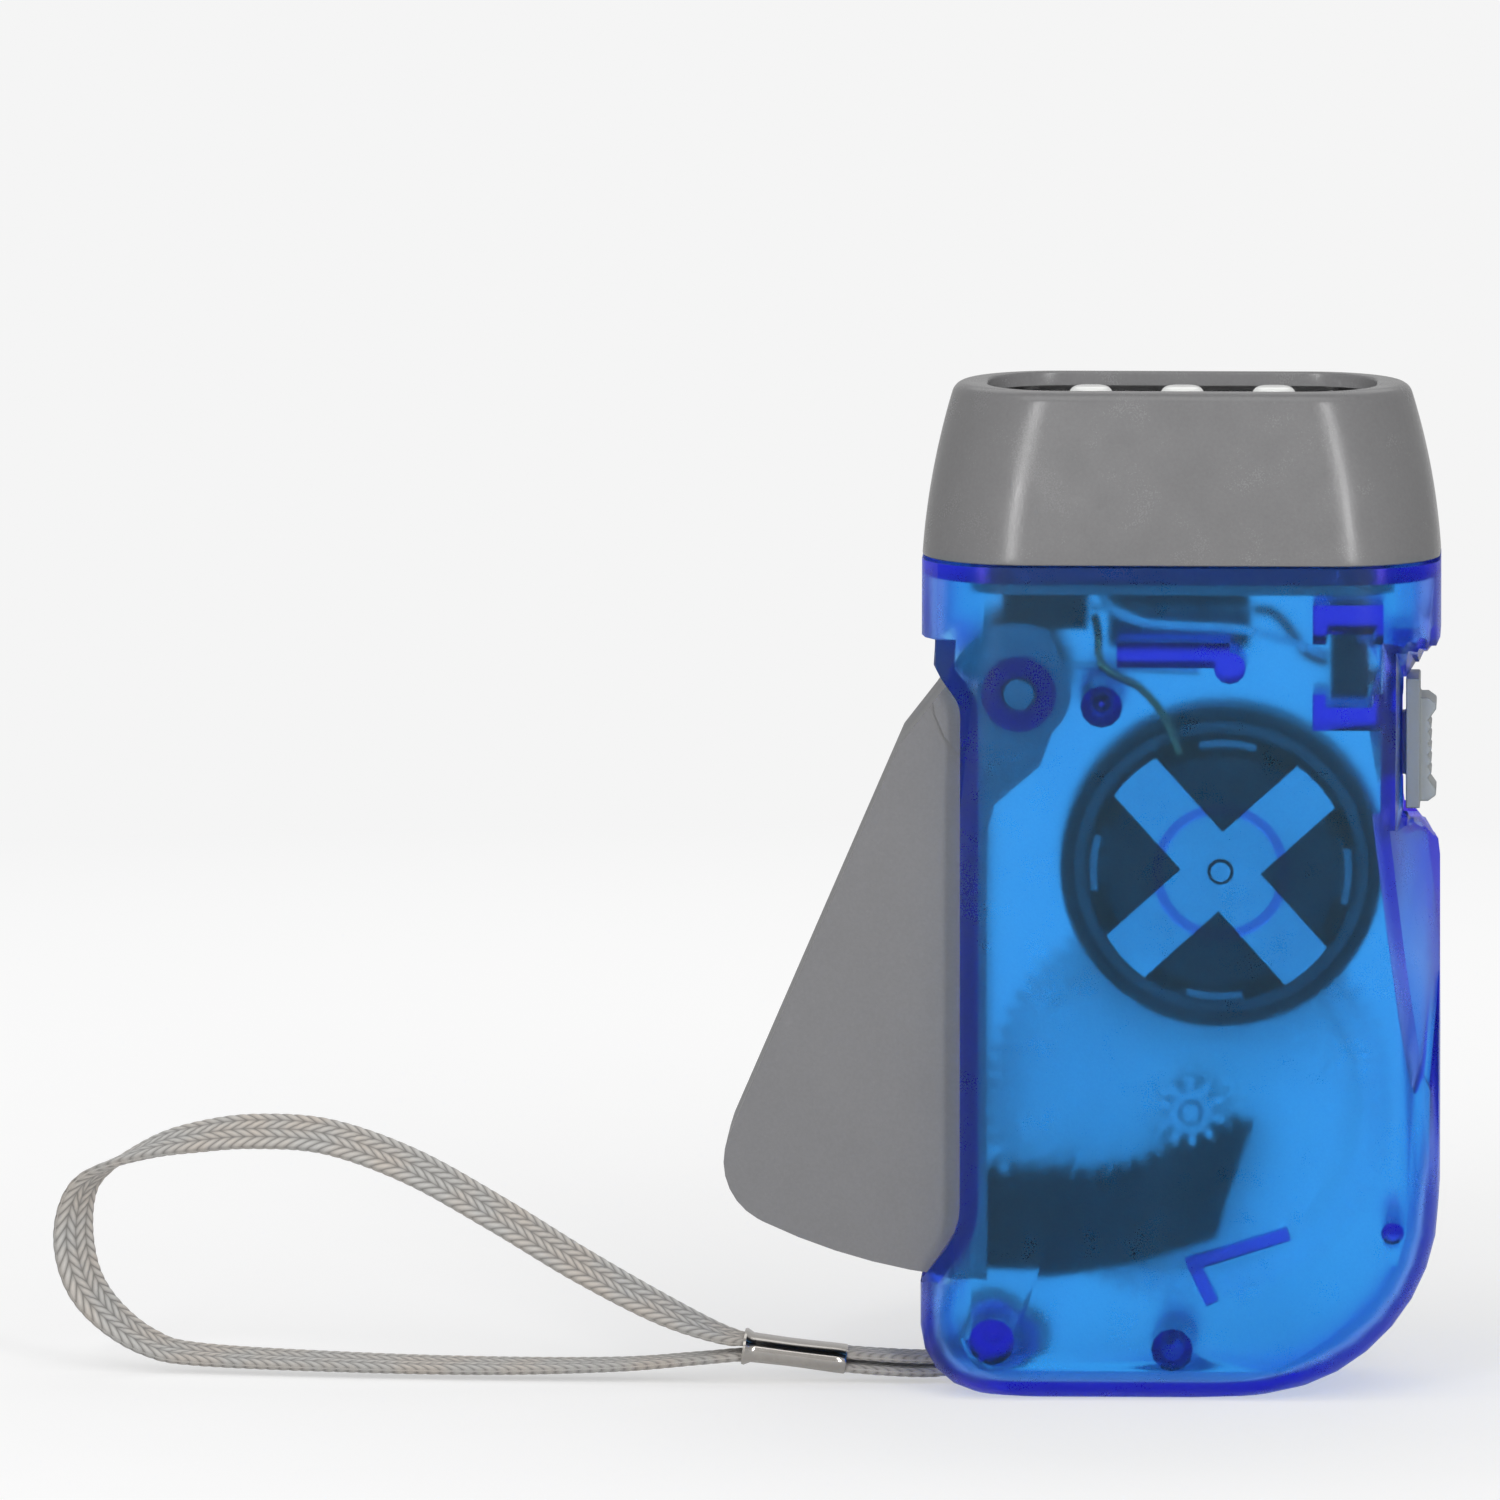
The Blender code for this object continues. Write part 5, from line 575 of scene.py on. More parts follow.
@dataclass(frozen=True)
class Finish:
    """Finish of a moulded, cast or drawn piece.

    Attributes:
        name: The material's name.
        colour: Base colour, linear.
        roughness: Mean roughness.
        mould: Surface texture.
        metallic: 1 for bare metal.
        coat: Weight of a clear, glossy top layer.
        mottle: How far the tone wanders, as a share of the colour.
        worn: How strongly handling marks show.
        shine: Level of the shader's own reflection, 0.5 for common plastic.
    """

    name: str
    colour: Colour
    roughness: float
    mould: Mould = Mould.SATIN
    metallic: float = 0.0
    coat: float = 0.0
    mottle: float = 0.05
    worn: float = 0.3
    shine: float = 0.5

    def material(self) -> bpy.types.Material:
        """The finish as a material, made at the first call.

        Returns:
            The material.
        """
        made = bpy.data.materials.get(self.name)
        if made is None:
            made = bpy.data.materials.new(self.name)
            made.use_nodes = True
            self.wire(Graph(made.node_tree), made.node_tree.nodes["Principled BSDF"])
        return made

    def scaled(self, factor: float, lift: float = 0.0) -> Colour:
        """The colour times a factor, with a lift added, and no channel over 1."""
        return tuple(min(1.0, channel * factor + lift) for channel in self.colour)

    def tones(self, graph: Graph, shader: bpy.types.Node) -> None:
        """Wire colour, roughness and grain into a shader.

        Args:
            graph: The material's nodes.
            shader: The Principled shader.
        """
        size, depth, swing = self.mould.value
        place = graph.add("ShaderNodeTexCoord").outputs["Object"]
        grain = graph.effect(Effect.GRAIN, Place=place, Size=size).outputs
        marks = graph.effect(Effect.HANDLING, Place=place).outputs
        uneven = graph.spread(graph.blend(grain["Tone"], grain["Height"], 0.4), *NARROW)
        tone = graph.mixed(uneven, self.scaled(1 - self.mottle), self.scaled(1 + self.mottle))
        dust = graph.calc("MULTIPLY", marks["Dust"], DUST_SHARE)
        specks = graph.calc("ADD", marks["Scuffs"], dust, clamp=True)
        worn = graph.calc("MULTIPLY", specks, self.worn)
        low, high = self.roughness - swing / 2, self.roughness + swing / 2
        bump = graph.add("ShaderNodeBump", Strength=0.6, Distance=depth, Height=grain["Height"])
        graph.fill(
            shader, Base_Color=graph.mixed(worn, tone, self.scaled(*PALER)),
            Roughness=graph.spread(grain["Gloss"], *BROAD, low, high), Normal=bump.outputs[0],
        )

    def wire(self, graph: Graph, shader: bpy.types.Node) -> None:
        """Fill the material's nodes.

        Args:
            graph: The material's nodes.
            shader: The Principled shader.
        """
        self.tones(graph, shader)
        graph.fill(
            shader, Metallic=self.metallic, Specular_IOR_Level=self.shine,
            Coat_Weight=self.coat, Coat_Roughness=0.08,
        )


@dataclass(frozen=True)
class FrostedFinish(Finish):
    """Dyed, see-through plastic with a sand-blasted skin.

    Attributes:
        index: Refractive index, lower than the real one so that thin walls pass more light.
        dye: Colour that the dye lets through.
        density: How quickly the dye takes light, for each metre.
        thick: Painted shade: base colour, a deeper purple, where a rib, pillar or rim stands behind
            the wall, in place of the light that the thick plastic soaks up.
        milky: Share of the light that the plastic scatters back.
    """

    index: float = 1.22
    dye: Colour = (0.89, 0.28, 0.965)
    density: float = 215.0
    thick: Colour = (0.075, 0.065, 0.76)
    milky: float = 0.015

    def wire(self, graph: Graph, shader: bpy.types.Node) -> None:
        """Fill the material's nodes.

        Args:
            graph: The material's nodes.
            shader: The Principled shader.
        """
        self.tones(graph, shader)
        thin = shader.inputs["Base Color"].links[0].from_socket
        # Painted shade: where thick plastic stands behind a face, the base colour turns to the
        # deeper purple of thick, in place of the light that a longer path would absorb
        depth = graph.add("ShaderNodeAttribute", {"attribute_name": THICK_SHADE}).outputs["Fac"]
        graph.fill(
            shader, Base_Color=graph.mixed(depth, thin, self.thick),
            Transmission_Weight=1.0 - self.milky, IOR=self.index,
        )
        dye = graph.add("ShaderNodeVolumeAbsorption", Color=self.dye, Density=self.density)
        graph.fill(graph.tree.nodes["Material Output"], Volume=dye.outputs["Volume"])


@dataclass(frozen=True)
class BraidFinish(Finish):
    """Braided yarn on a piece that carries pattern coordinates.

    Attributes:
        pitch: Length of a stitch along the band.
        column: Width of a column of stitches.
        slant: How far a stitch leans over its column, in pitches.
        groove: Brightness of the colour deep between the stitches.
        swing: Spread of the roughness to each side.
        sheen: Weight of the yarn's fuzz.
        nap: Depth of the fibres, in metres.
    """

    pitch: float = 1.15 * MM
    column: float = 1.25 * MM
    slant: float = 1.3
    # groove: Brightness of the painted shade deep between the stitches.
    groove: float = 0.16
    swing: float = 0.08
    sheen: float = 0.35
    nap: float = 0.06 * MM

    def wire(self, graph: Graph, shader: bpy.types.Node) -> None:
        """Fill the material's nodes.

        Args:
            graph: The material's nodes.
            shader: The Principled shader.
        """
        where = graph.add("ShaderNodeUVMap", {"uv_map": PATTERN}).outputs["UV"]
        parts = graph.add("ShaderNodeSeparateXYZ", Vector=where).outputs
        place = graph.add("ShaderNodeTexCoord").outputs["Object"]
        braid = graph.effect(
            Effect.BRAID, Along=parts["X"], Across=parts["Y"],
            Pitch=self.pitch, Column=self.column, Slant=self.slant,
        ).outputs
        fuzz = graph.noise(place, scale=2600.0, detail=4.0, rough=0.7)
        tone = graph.noise(place, scale=190.0, detail=3.0)
        red, green, blue = self.colour
        warm, cool = (red * 1.04, green, blue * 0.96), (red * 0.96, green, blue * 1.03)
        yarn = graph.mixed(graph.spread(tone, *NARROW), warm, cool)
        # Painted shade: the yarn's colour darkens from the middle of each stitch down to the groove
        # brightness between stitches
        lit = graph.calc("ADD", graph.calc("MULTIPLY", braid["Stitch"], 0.85), 0.15)
        strands = graph.spread(braid["Fibre"], 0.25, 0.75, 0.72, 1.12)
        shade = graph.calc("MULTIPLY", lit, strands, clamp=True)
        low, high = self.roughness - self.swing, self.roughness + self.swing
        height = graph.blend(braid["Fibre"], fuzz, 0.6)
        bump = graph.add("ShaderNodeBump", Strength=0.7, Distance=self.nap, Height=height)
        graph.fill(
            shader, Base_Color=graph.mixed(shade, self.scaled(self.groove), yarn),
            Roughness=graph.spread(fuzz, *BROAD, low, high), Normal=bump.outputs[0],
            Sheen_Weight=self.sheen, Sheen_Roughness=0.5,
        )


FROSTED_BLUE = FrostedFinish(
    "frosted_blue_plastic", (0.175, 0.765, 1.0), 0.30, Mould.FROSTED, mottle=0.055, worn=0.15,
)
HEAD_GREY = Finish("head_grey_plastic", (0.168, 0.167, 0.170), 0.24, Mould.SPARKED, mottle=0.06)
LEVER_GREY = Finish("lever_grey_plastic", (0.161, 0.161, 0.167), 0.46, Mould.SPARKED, mottle=0.06)
SWITCH_GREY = Finish("switch_grey_plastic", (0.275, 0.300, 0.310), 0.42, Mould.SPARKED, mottle=0.03)
CHROME = Finish(
    "bright_chrome", (0.86, 0.86, 0.87), 0.08, Mould.POLISHED, metallic=1.0, mottle=0.01, worn=0.05,
)
STEEL = Finish("drawn_steel", (0.56, 0.57, 0.58), 0.26, metallic=1.0, mottle=0.08)
LAMP_WHITE = Finish(
    "lamp_epoxy", (0.90, 0.91, 0.89), 0.10, Mould.POLISHED, coat=1.0, mottle=0.01, worn=0.0,
)
PIN_STEEL = Finish("oiled_pin_steel", (0.20, 0.20, 0.21), 0.34, metallic=1.0, mottle=0.1)
BOARD_GREEN = Finish("circuit_board", (0.05, 0.21, 0.10), 0.42, coat=0.4, mottle=0.12)
BLACK_PLASTIC = Finish("black_nylon", (0.012, 0.013, 0.015), 0.42, mottle=0.15, shine=0.25)
NATURAL_PLASTIC = Finish("natural_acetal", (0.78, 0.79, 0.76), 0.38, mottle=0.04)
FERRITE = Finish("ring_ferrite", (0.055, 0.056, 0.060), 0.55, Mould.SPARKED, mottle=0.2)
COPPER = Finish(
    "enamelled_copper", (0.62, 0.24, 0.09), 0.28, Mould.POLISHED,
    metallic=0.9, coat=0.5, mottle=0.1,
)
CELL_SLEEVE = Finish(
    "cell_sleeve", (0.035, 0.055, 0.075), 0.30, Mould.POLISHED, coat=0.5, mottle=0.1,
)
WIRE_WHITE = Finish("wire_white", (0.74, 0.74, 0.72), 0.42)
WIRE_RED = Finish("wire_red", (0.55, 0.035, 0.025), 0.42)
STRAP_YARN = BraidFinish("strap_yarn", (0.61, 0.575, 0.535), 0.82)
SLEEVE_NICKEL = Finish(
    "sleeve_nickel", (0.46, 0.435, 0.405), 0.16, Mould.POLISHED,
    metallic=1.0, mottle=0.08, worn=0.5,
)


def dress(finish: Finish, *nodes: str) -> None:
    """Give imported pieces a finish.

    Args:
        finish: The finish.
        *nodes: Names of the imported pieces.
    """
    for node in nodes:
        item = FRAME["nodes"][node]
        item.data.materials.clear()
        item.data.materials.append(finish.material())
        LOG.info("dressed %s with %s", node, finish.name)


def settle(
    piece: bpy.types.Object, finish: Finish, body: str, slot: str, *nodes: str,
) -> None:
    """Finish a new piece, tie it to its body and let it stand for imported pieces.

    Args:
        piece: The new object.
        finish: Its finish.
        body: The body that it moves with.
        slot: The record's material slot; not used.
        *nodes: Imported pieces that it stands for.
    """
    piece.data.materials.clear()
    piece.data.materials.append(finish.material())
    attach(piece, body)
    if nodes:
        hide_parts(*nodes)
    LOG.info("made %s with %s", piece.name, finish.name)


def refined(
    node: str, name: str, edge: float = 0.0, sharp: float = 32.0, steps: int = 3,
) -> bpy.types.Object:
    """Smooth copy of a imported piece.

    Args:
        node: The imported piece.
        name: Name of the copy.
        edge: Radius of its softened edges, or zero for none.
        sharp: Edges that turn more than this, in degrees, are softened or stay sharp.
        steps: Faces across a softened edge.

    Returns:
        A linked object with merged points and outward faces.
    """
    mesh = FRAME["nodes"][node].data.copy()
    mesh.name = name
    turned_outwards(mesh, merge=0.002 * MM)
    mesh.shade_smooth()
    mesh.set_sharp_from_angle(angle=math.radians(sharp))
    item = linked(name, mesh)
    if edge:
        soften = item.modifiers.new("softened edges", "BEVEL")
        soften.width = edge
        soften.segments = steps
        soften.limit_method = "ANGLE"
        soften.angle_limit = math.radians(sharp)
        soften.use_clamp_overlap = True
        soften.harden_normals = True
    return item


# Sub-assemblies
@dataclass
class CaseShells:
    """Front and back half of the frosted case, and the two screws that hold them."""

    wall: float = 2.05 * MM
    swell: float = 0.45 * MM
    skin: float = 0.02 * MM
    facing: float = 0.3
    collar: float = 4.0 * MM
    collar_share: float = 0.2
    seam: float = 0.2 * MM
    seam_gap: float = 0.02 * MM
    screw_radius: float = 1.9 * MM
    screw_head: float = 1.0 * MM
    screw_dome: float = 0.35 * MM
    screw_brim: float = 0.05 * MM
    thread_radius: float = 0.9 * MM
    tip: float = 0.8 * MM
    tip_radius: float = 0.25 * MM
    slot_half: float = 0.22 * MM
    slot_reach: float = 1.178 * MM
    slot_depth: float = 0.45 * MM
    slot_sides: float = 0.03 * MM
    slot_ends: float = 0.05 * MM

    def build(self) -> None:
        """Make both halves and the screws."""
        for half, inward in (("front", 1.0), ("back", -1.0)):
            shell = refined(f"{half}_shell", f"{half}_case_half")
            self.close_seam(shell.data)
            self.mark_thick_shade(shell, inward)
            settle(shell, FROSTED_BLUE, "case", "frosted_blue", f"{half}_shell")
        for place in ("high", "low"):
            self.screw(f"case_screw_{place}")

    def close_seam(self, mesh: bpy.types.Mesh) -> None:
        """Bring the faces where the halves meet together, down to a hairline.

        Args:
            mesh: Half of the case.
        """
        points = np.empty(len(mesh.vertices) * 3, dtype=np.float32)
        mesh.vertices.foreach_get("co", points)
        depth = points.reshape(-1, 3)[:, 1]
        depth[:] = np.where(np.abs(depth) < self.seam, np.sign(depth) * self.seam_gap, depth)
        mesh.vertices.foreach_set("co", points)
        mesh.update()

    def mark_thick_shade(self, shell: bpy.types.Object, inward: float) -> None:
        """Write down on each face how thick the plastic is behind it, as the mask of the painted
        shade that deepens the case's colour there.

        A line from inside a face that looks inwards goes back through the plastic.
        The face gets 0 where that path is no longer than a wall's thickness, and
        more the further it goes beyond that, up to 1. Faces near the top get less.

        Args:
            shell: Half of the case.
            inward: Sign of Y for directions that point into the case.
        """
        mesh = shell.data
        tree = BVHTree.FromObject(shell, bpy.context.evaluated_depsgraph_get())
        mesh.calc_loop_triangles()
        inside = {}
        for part in sorted(mesh.loop_triangles, key=lambda triangle: triangle.area):
            corners = [mesh.vertices[index].co for index in part.vertices]
            inside[part.polygon_index] = (corners[0] + corners[1] + corners[2]) / 3
        paths = [
            tree.ray_cast(inside[face.index] - face.normal * self.skin, -face.normal)[3] or 0.0
            if face.normal.y * inward > self.facing else 0.0
            for face in mesh.polygons
        ]
        depth = np.array(paths, dtype=np.float32)
        height = np.array([face.center.z for face in mesh.polygons])
        depth[height > height.max() - self.collar] *= self.collar_share
        layer = mesh.attributes.new(THICK_SHADE, "FLOAT", "FACE")
        layer.data.foreach_set("value", np.clip((depth - self.wall) / self.swell, 0.0, 1.0))

    def screw(self, node: str) -> None:
        """Cross-head screw: a turned shaft, and a domed head that dips along two crossing slots.

        The head's height falls with the square of the distance from its middle. The
        dip is the product of a narrow step across each slot and a wider one at its ends.

        Args:
            node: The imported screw.
        """
        low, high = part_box(node)
        middle = (low + high) / 2
        depth = high.y - low.y
        share = np.linspace(0.06, 1.0, 26)[:, None]
        angle = np.linspace(0, math.tau, 96, endpoint=False)
        x = share * self.screw_radius * np.cos(angle)
        y = share * self.screw_radius * np.sin(angle)
        across = np.minimum(np.abs(x), np.abs(y))
        reach = np.maximum(np.abs(x), np.abs(y))
        dip = 1 / (1 + np.exp((across - self.slot_half) / self.slot_sides))
        dip = dip / (1 + np.exp((reach - self.slot_reach) / self.slot_ends))
        top = depth - self.screw_dome * share ** 2 - self.slot_depth * dip
        brim = depth - self.screw_dome - self.screw_brim
        under = depth - self.screw_head
        shaft = turned(
            np.array([self.screw_radius] * 2 + [self.thread_radius] * 2 + [self.tip_radius]),
            np.array([brim, under, under, self.tip, 0.0]), 96,
        )
        surface = closed_tube(np.concatenate((np.stack((x, y, top), axis=-1), shaft)))
        surface.points = laid_back(surface.points) + np.array([middle.x, low.y, middle.z])
        settle(surface.piece(f"{node}_head", 30), STEEL, "case", "steel", node)


@dataclass
class LampHead:
    """Grey lamp head with its reflector plate, three lamps and their board.

    The loops of its inside, from the flange in the case up to the mouth, are each
    given as half the width, half the depth and the radius of the corners.
    """

    draw: float = 3.2 * MM
    straight_share: float = 0.34
    corner: float = 10.4 * MM
    corner_share: float = 0.1
    rim: float = 1.0 * MM
    height: float = 17.0 * MM
    lip: float = 1.4 * MM
    bay_floor: float = 11.3 * MM
    foot: float = 0.25 * MM
    edge: float = 0.3 * MM
    levels: int = 22
    flange: tuple[float, float, float] = (21.0 * MM, 9.5 * MM, 5.0 * MM)
    flange_gap: float = 2.3 * MM
    neck: tuple[float, float, float] = (19.7 * MM, 8.2 * MM, 5.0 * MM)
    mouth: tuple[float, float, float] = (19.3 * MM, 8.8 * MM, 7.2 * MM)
    bay: tuple[float, float, float] = (20.45 * MM, 9.95 * MM, 6.9 * MM)
    throat: tuple[float, float, float] = (18.0 * MM, 6.5 * MM, 4.0 * MM)
    mirror_edge: float = 0.12 * MM
    lamp_radius: float = 2.5 * MM
    lamp_rim: float = 2.9 * MM
    lamp_foot: float = 1.0 * MM
    lamp_bevel: float = 0.1 * MM
    dome_power: float = 0.36

    def build(self) -> None:
        """Make the head and its lamps."""
        settle(self.bezel(), HEAD_GREY, "case", "grey_plastic", "head_bezel")
        mirror = refined("reflector_plate", "reflector_mirror", self.mirror_edge)
        settle(mirror, CHROME, "case", "chrome", "reflector_plate")
        for number in (1, 2, 3):
            settle(self.lamp(number), LAMP_WHITE, "case", "led_white", f"led_{number}")
        dress(BOARD_GREEN, "led_board")

    def bezel(self) -> bpy.types.Object:
        """Ring of loops from the neck up the outside, over the rim and down the inside.

        The outside draws in with the height: a straight share first, then with its
        square. The foot, the rim and the mouth's edge are quarter circles.

        Returns:
            The head.
        """
        low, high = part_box("head_bezel")
        centre = (low + high) / 2
        half_x, half_y = (high.x - low.x) / 2, (high.y - low.y) / 2
        base, top = high.z - self.height, high.z

        def outside(inset: float, less: float, level: float) -> Array:
            """Loop of the outside: its inset, how much less its corners measure, its height."""
            return rounded_loop(half_x - inset, half_y - inset, self.corner - less, level)

        flange_top = base - self.flange_gap
        loops = [
            rounded_loop(*self.flange, low.z), rounded_loop(*self.flange, flange_top),
            rounded_loop(*self.neck, flange_top), rounded_loop(*self.neck, base),
        ]
        for angle in np.linspace(0, math.pi / 2, 4)[:-1]:
            inset = self.foot * (1 - math.sin(angle))
            loops.append(outside(inset, inset, base + self.foot * (1 - math.cos(angle))))
        for rise in np.linspace(self.foot / self.height, 1 - self.rim / self.height, self.levels):
            inset = self.draw_in(rise)
            loops.append(outside(inset, inset * self.corner_share, base + self.height * rise))
        for angle in np.linspace(0, math.pi / 2, 9)[1:]:
            level = top - self.rim + self.rim * math.sin(angle)
            bend = self.rim * (1 - math.cos(angle))
            inset = self.draw_in((level - base) / self.height) + bend
            loops.append(outside(inset, inset * self.corner_share + bend, level))
        for angle in np.linspace(0, math.pi / 2, 5):
            mouth = (half + self.edge * (1 - math.sin(angle)) for half in self.mouth)
            loops.append(rounded_loop(*mouth, top - self.edge * (1 - math.cos(angle))))
        loops += [
            rounded_loop(*self.mouth, top - self.lip), rounded_loop(*self.bay, top - self.lip),
            rounded_loop(*self.bay, top - self.bay_floor),
            rounded_loop(*self.throat, top - self.bay_floor), rounded_loop(*self.throat, low.z),
        ]
        points = np.stack(loops) + np.array([centre.x, centre.y, 0])
        return lattice(points, round_u=True, round_v=True).piece("lamp_head", 30)

    def draw_in(self, rise: float) -> float:
        """How far the outside has drawn in at a share of the height."""
        return self.draw * (self.straight_share * rise + (1 - self.straight_share) * rise ** 2)

    def lamp(self, number: int) -> bpy.types.Object:
        """Turned lamp: a flat rim, a straight body and a dome.

        The dome's height follows a sine and its radius a power of the cosine, so
        that it is fuller than half a ball.

        Args:
            number: Which of the three lamps this is.

        Returns:
            The lamp.
        """
        low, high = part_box(f"led_{number}")
        middle = (low + high) / 2
        arc = np.linspace(0, math.pi / 2, 18)[:-1]
        rim, bevel, foot = self.lamp_rim, self.lamp_bevel, self.lamp_foot
        radii = np.concatenate((
            [rim - bevel, rim, rim, rim - bevel, self.lamp_radius],
            self.lamp_radius * np.cos(arc) ** self.dome_power,
            [self.lamp_radius * 0.02],
        ))
        heights = np.concatenate((
            low.z + np.array([0.0, bevel, foot - bevel, foot, foot]),
            high.z - self.lamp_radius + self.lamp_radius * np.sin(arc),
            [high.z],
        ))
        surface = closed_tube(turned(radii, heights, 56))
        surface.points += np.array([middle.x, middle.y, 0])
        return surface.piece(f"lamp_{number}", 40)


@dataclass
class SqueezeLever:
    """Hand lever with its toothed arc and pivot pin."""

    edge: float = 0.55 * MM

    def build(self) -> None:
        """Make the lever and finish its inner pieces."""
        lever = refined("squeeze_lever", "hand_lever", self.edge, 40)
        settle(lever, LEVER_GREY, "lever", "lever_grey", "squeeze_lever")
        dress(BLACK_PLASTIC, "toothed_arc")
        dress(PIN_STEEL, "lever_pivot_pin")


@dataclass
class ReturnSpring:
    """Torsion spring round the lever's pin.

    It is parted in the middle of its coils, so that one leg stays with the case
    and the other follows the lever.
    """

    wire: float = 0.7 * MM
    radius: float = 2.5 * MM
    turns: float = 5.0
    pitch: float = 1.2 * MM
    leave: float = math.radians(141.4)
    long_leg: float = 17.8 * MM
    long_drop: float = 0.8 * MM
    short_leg: float = 16.0 * MM
    leg_points: int = 12
    coil_points: int = 240

    def build(self) -> None:
        """Make both halves."""
        line = self.line()
        middle = self.leg_points + self.coil_points // 2
        case_end = self.swept(line[:middle + 1], "spring_case_end")
        lever_end = self.swept(line[middle:], "spring_lever_end")
        settle(case_end, STEEL, "case", "steel", "lever_spring")
        settle(lever_end, STEEL, "lever", "steel")

    def line(self) -> Array:
        """Middle of the wire: the long leg, a helix about the pin, and the short leg.

        The helix moves along Y by its pitch in each turn. Both legs leave it at a
        tangent, and the long one sinks evenly towards its end.

        Returns:
            Places as (points, 3).
        """
        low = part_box("lever_spring")[0]
        pin_low, pin_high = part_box("lever_pivot_pin")
        front = low.y + self.wire / 2
        share = np.linspace(1, 0, self.leg_points, endpoint=False)
        fall = self.radius - self.long_drop * share
        long_leg = np.stack((self.long_leg * share, np.full_like(share, front), fall), axis=1)
        total = self.turns * math.tau + self.leave - math.pi / 2
        turn = np.linspace(0, total, self.coil_points)
        coil = np.stack((
            self.radius * np.cos(turn + math.pi / 2),
            front + self.pitch * turn / math.tau,
            self.radius * np.sin(turn + math.pi / 2),
        ), axis=1)
        run = np.linspace(0, self.short_leg, self.leg_points + 1)[1:, None]
        short_leg = coil[-1] + run * np.array([-math.sin(self.leave), 0, math.cos(self.leave)])
        pin = np.array([(pin_low.x + pin_high.x) / 2, 0, (pin_low.z + pin_high.z) / 2])
        return np.vstack((long_leg, coil, short_leg)) + pin

    def swept(self, line: Array, name: str, around: int = 16) -> bpy.types.Object:
        """Round wire along a line: a circle square to the line at each of its points.

        Args:
            line: Middle of the wire, which nowhere runs along Y.
            name: The piece's name.
            around: Points on each circle.

        Returns:
            The wire, closed at both ends.
        """
        ahead = np.gradient(line, axis=0)
        side = scaled_to_one(np.cross(ahead, np.array([0.0, 1.0, 0.0])))
        rise = scaled_to_one(np.cross(side, ahead))
        angle = np.linspace(0, math.tau, around, endpoint=False)[:, None]
        ring = side[:, None] * np.cos(angle) + rise[:, None] * np.sin(angle)
        return closed_tube(line[:, None] + ring * self.wire / 2).piece(name, 60)


@dataclass
class Dynamo:
    """Gears, flywheel with its magnet, and the coil between its pole plates."""

    edge: float = 0.15 * MM
    wire_pitch: float = 0.32 * MM
    bore: float = 4.35 * MM
    slack: float = 0.05 * MM

    def build(self) -> None:
        """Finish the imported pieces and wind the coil."""
        dress(NATURAL_PLASTIC, "drive_gear", "sector_pinion")
        bobbin = refined("coil_bobbin", "black_bobbin", self.edge)
        settle(bobbin, BLACK_PLASTIC, "case", "black_plastic", "coil_bobbin")
        dress(STEEL, "gear_shaft", "gear_washer", "flywheel_shaft", "front_pole_plate")
        dress(BLACK_PLASTIC, "flywheel")
        dress(FERRITE, "ring_magnet")
        dress(PIN_STEEL, "rear_pole_plate")
        settle(self.winding(), COPPER, "case", "copper_wire", "coil_winding")

    def winding(self) -> bpy.types.Object:
        """Wound coil: a turned ring whose outside is scalloped by the turns of wire.

        The outer radius falls by half a wire between turns, as the absolute value
        of a sine of the distance along the axis.

        Returns:
            The coil.
        """
        low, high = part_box("coil_winding")
        middle = (low + high) / 2
        outer = (high.x - low.x) / 2 - self.slack
        length = high.y - low.y - 2 * self.slack
        along = np.linspace(0, length, 120)
        wave = np.abs(np.sin(math.pi * along / self.wire_pitch))
        radii = np.concatenate((outer - self.wire_pitch / 2 * (1 - wave), [self.bore] * 2))
        rings = laid_back(turned(radii, np.concatenate((along, [length, 0.0])), 72))
        rings += np.array([middle.x, low.y + self.slack, middle.z])
        return lattice(rings, round_u=True, round_v=True).piece("wound_coil", 60)


@dataclass
class Electrics:
    """Cell pack, rectifier, slide switch, its slider and the wires."""

    edge: float = 0.16 * MM

    def build(self) -> None:
        """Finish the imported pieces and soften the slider's edges."""
        dress(BLACK_PLASTIC, "rectifier_board", "slide_switch")
        dress(CELL_SLEEVE, "battery_pack")
        dress(STEEL, "battery_tab")
        dress(WIRE_WHITE, "switch_wire")
        dress(WIRE_RED, "battery_lead")
        dress(COPPER, "coil_lead_1", "coil_lead_2")
        slider = refined("switch_slider", "thumb_slider", self.edge, 40, 2)
        settle(slider, SWITCH_GREY, "slider", "switch_grey", "switch_slider")


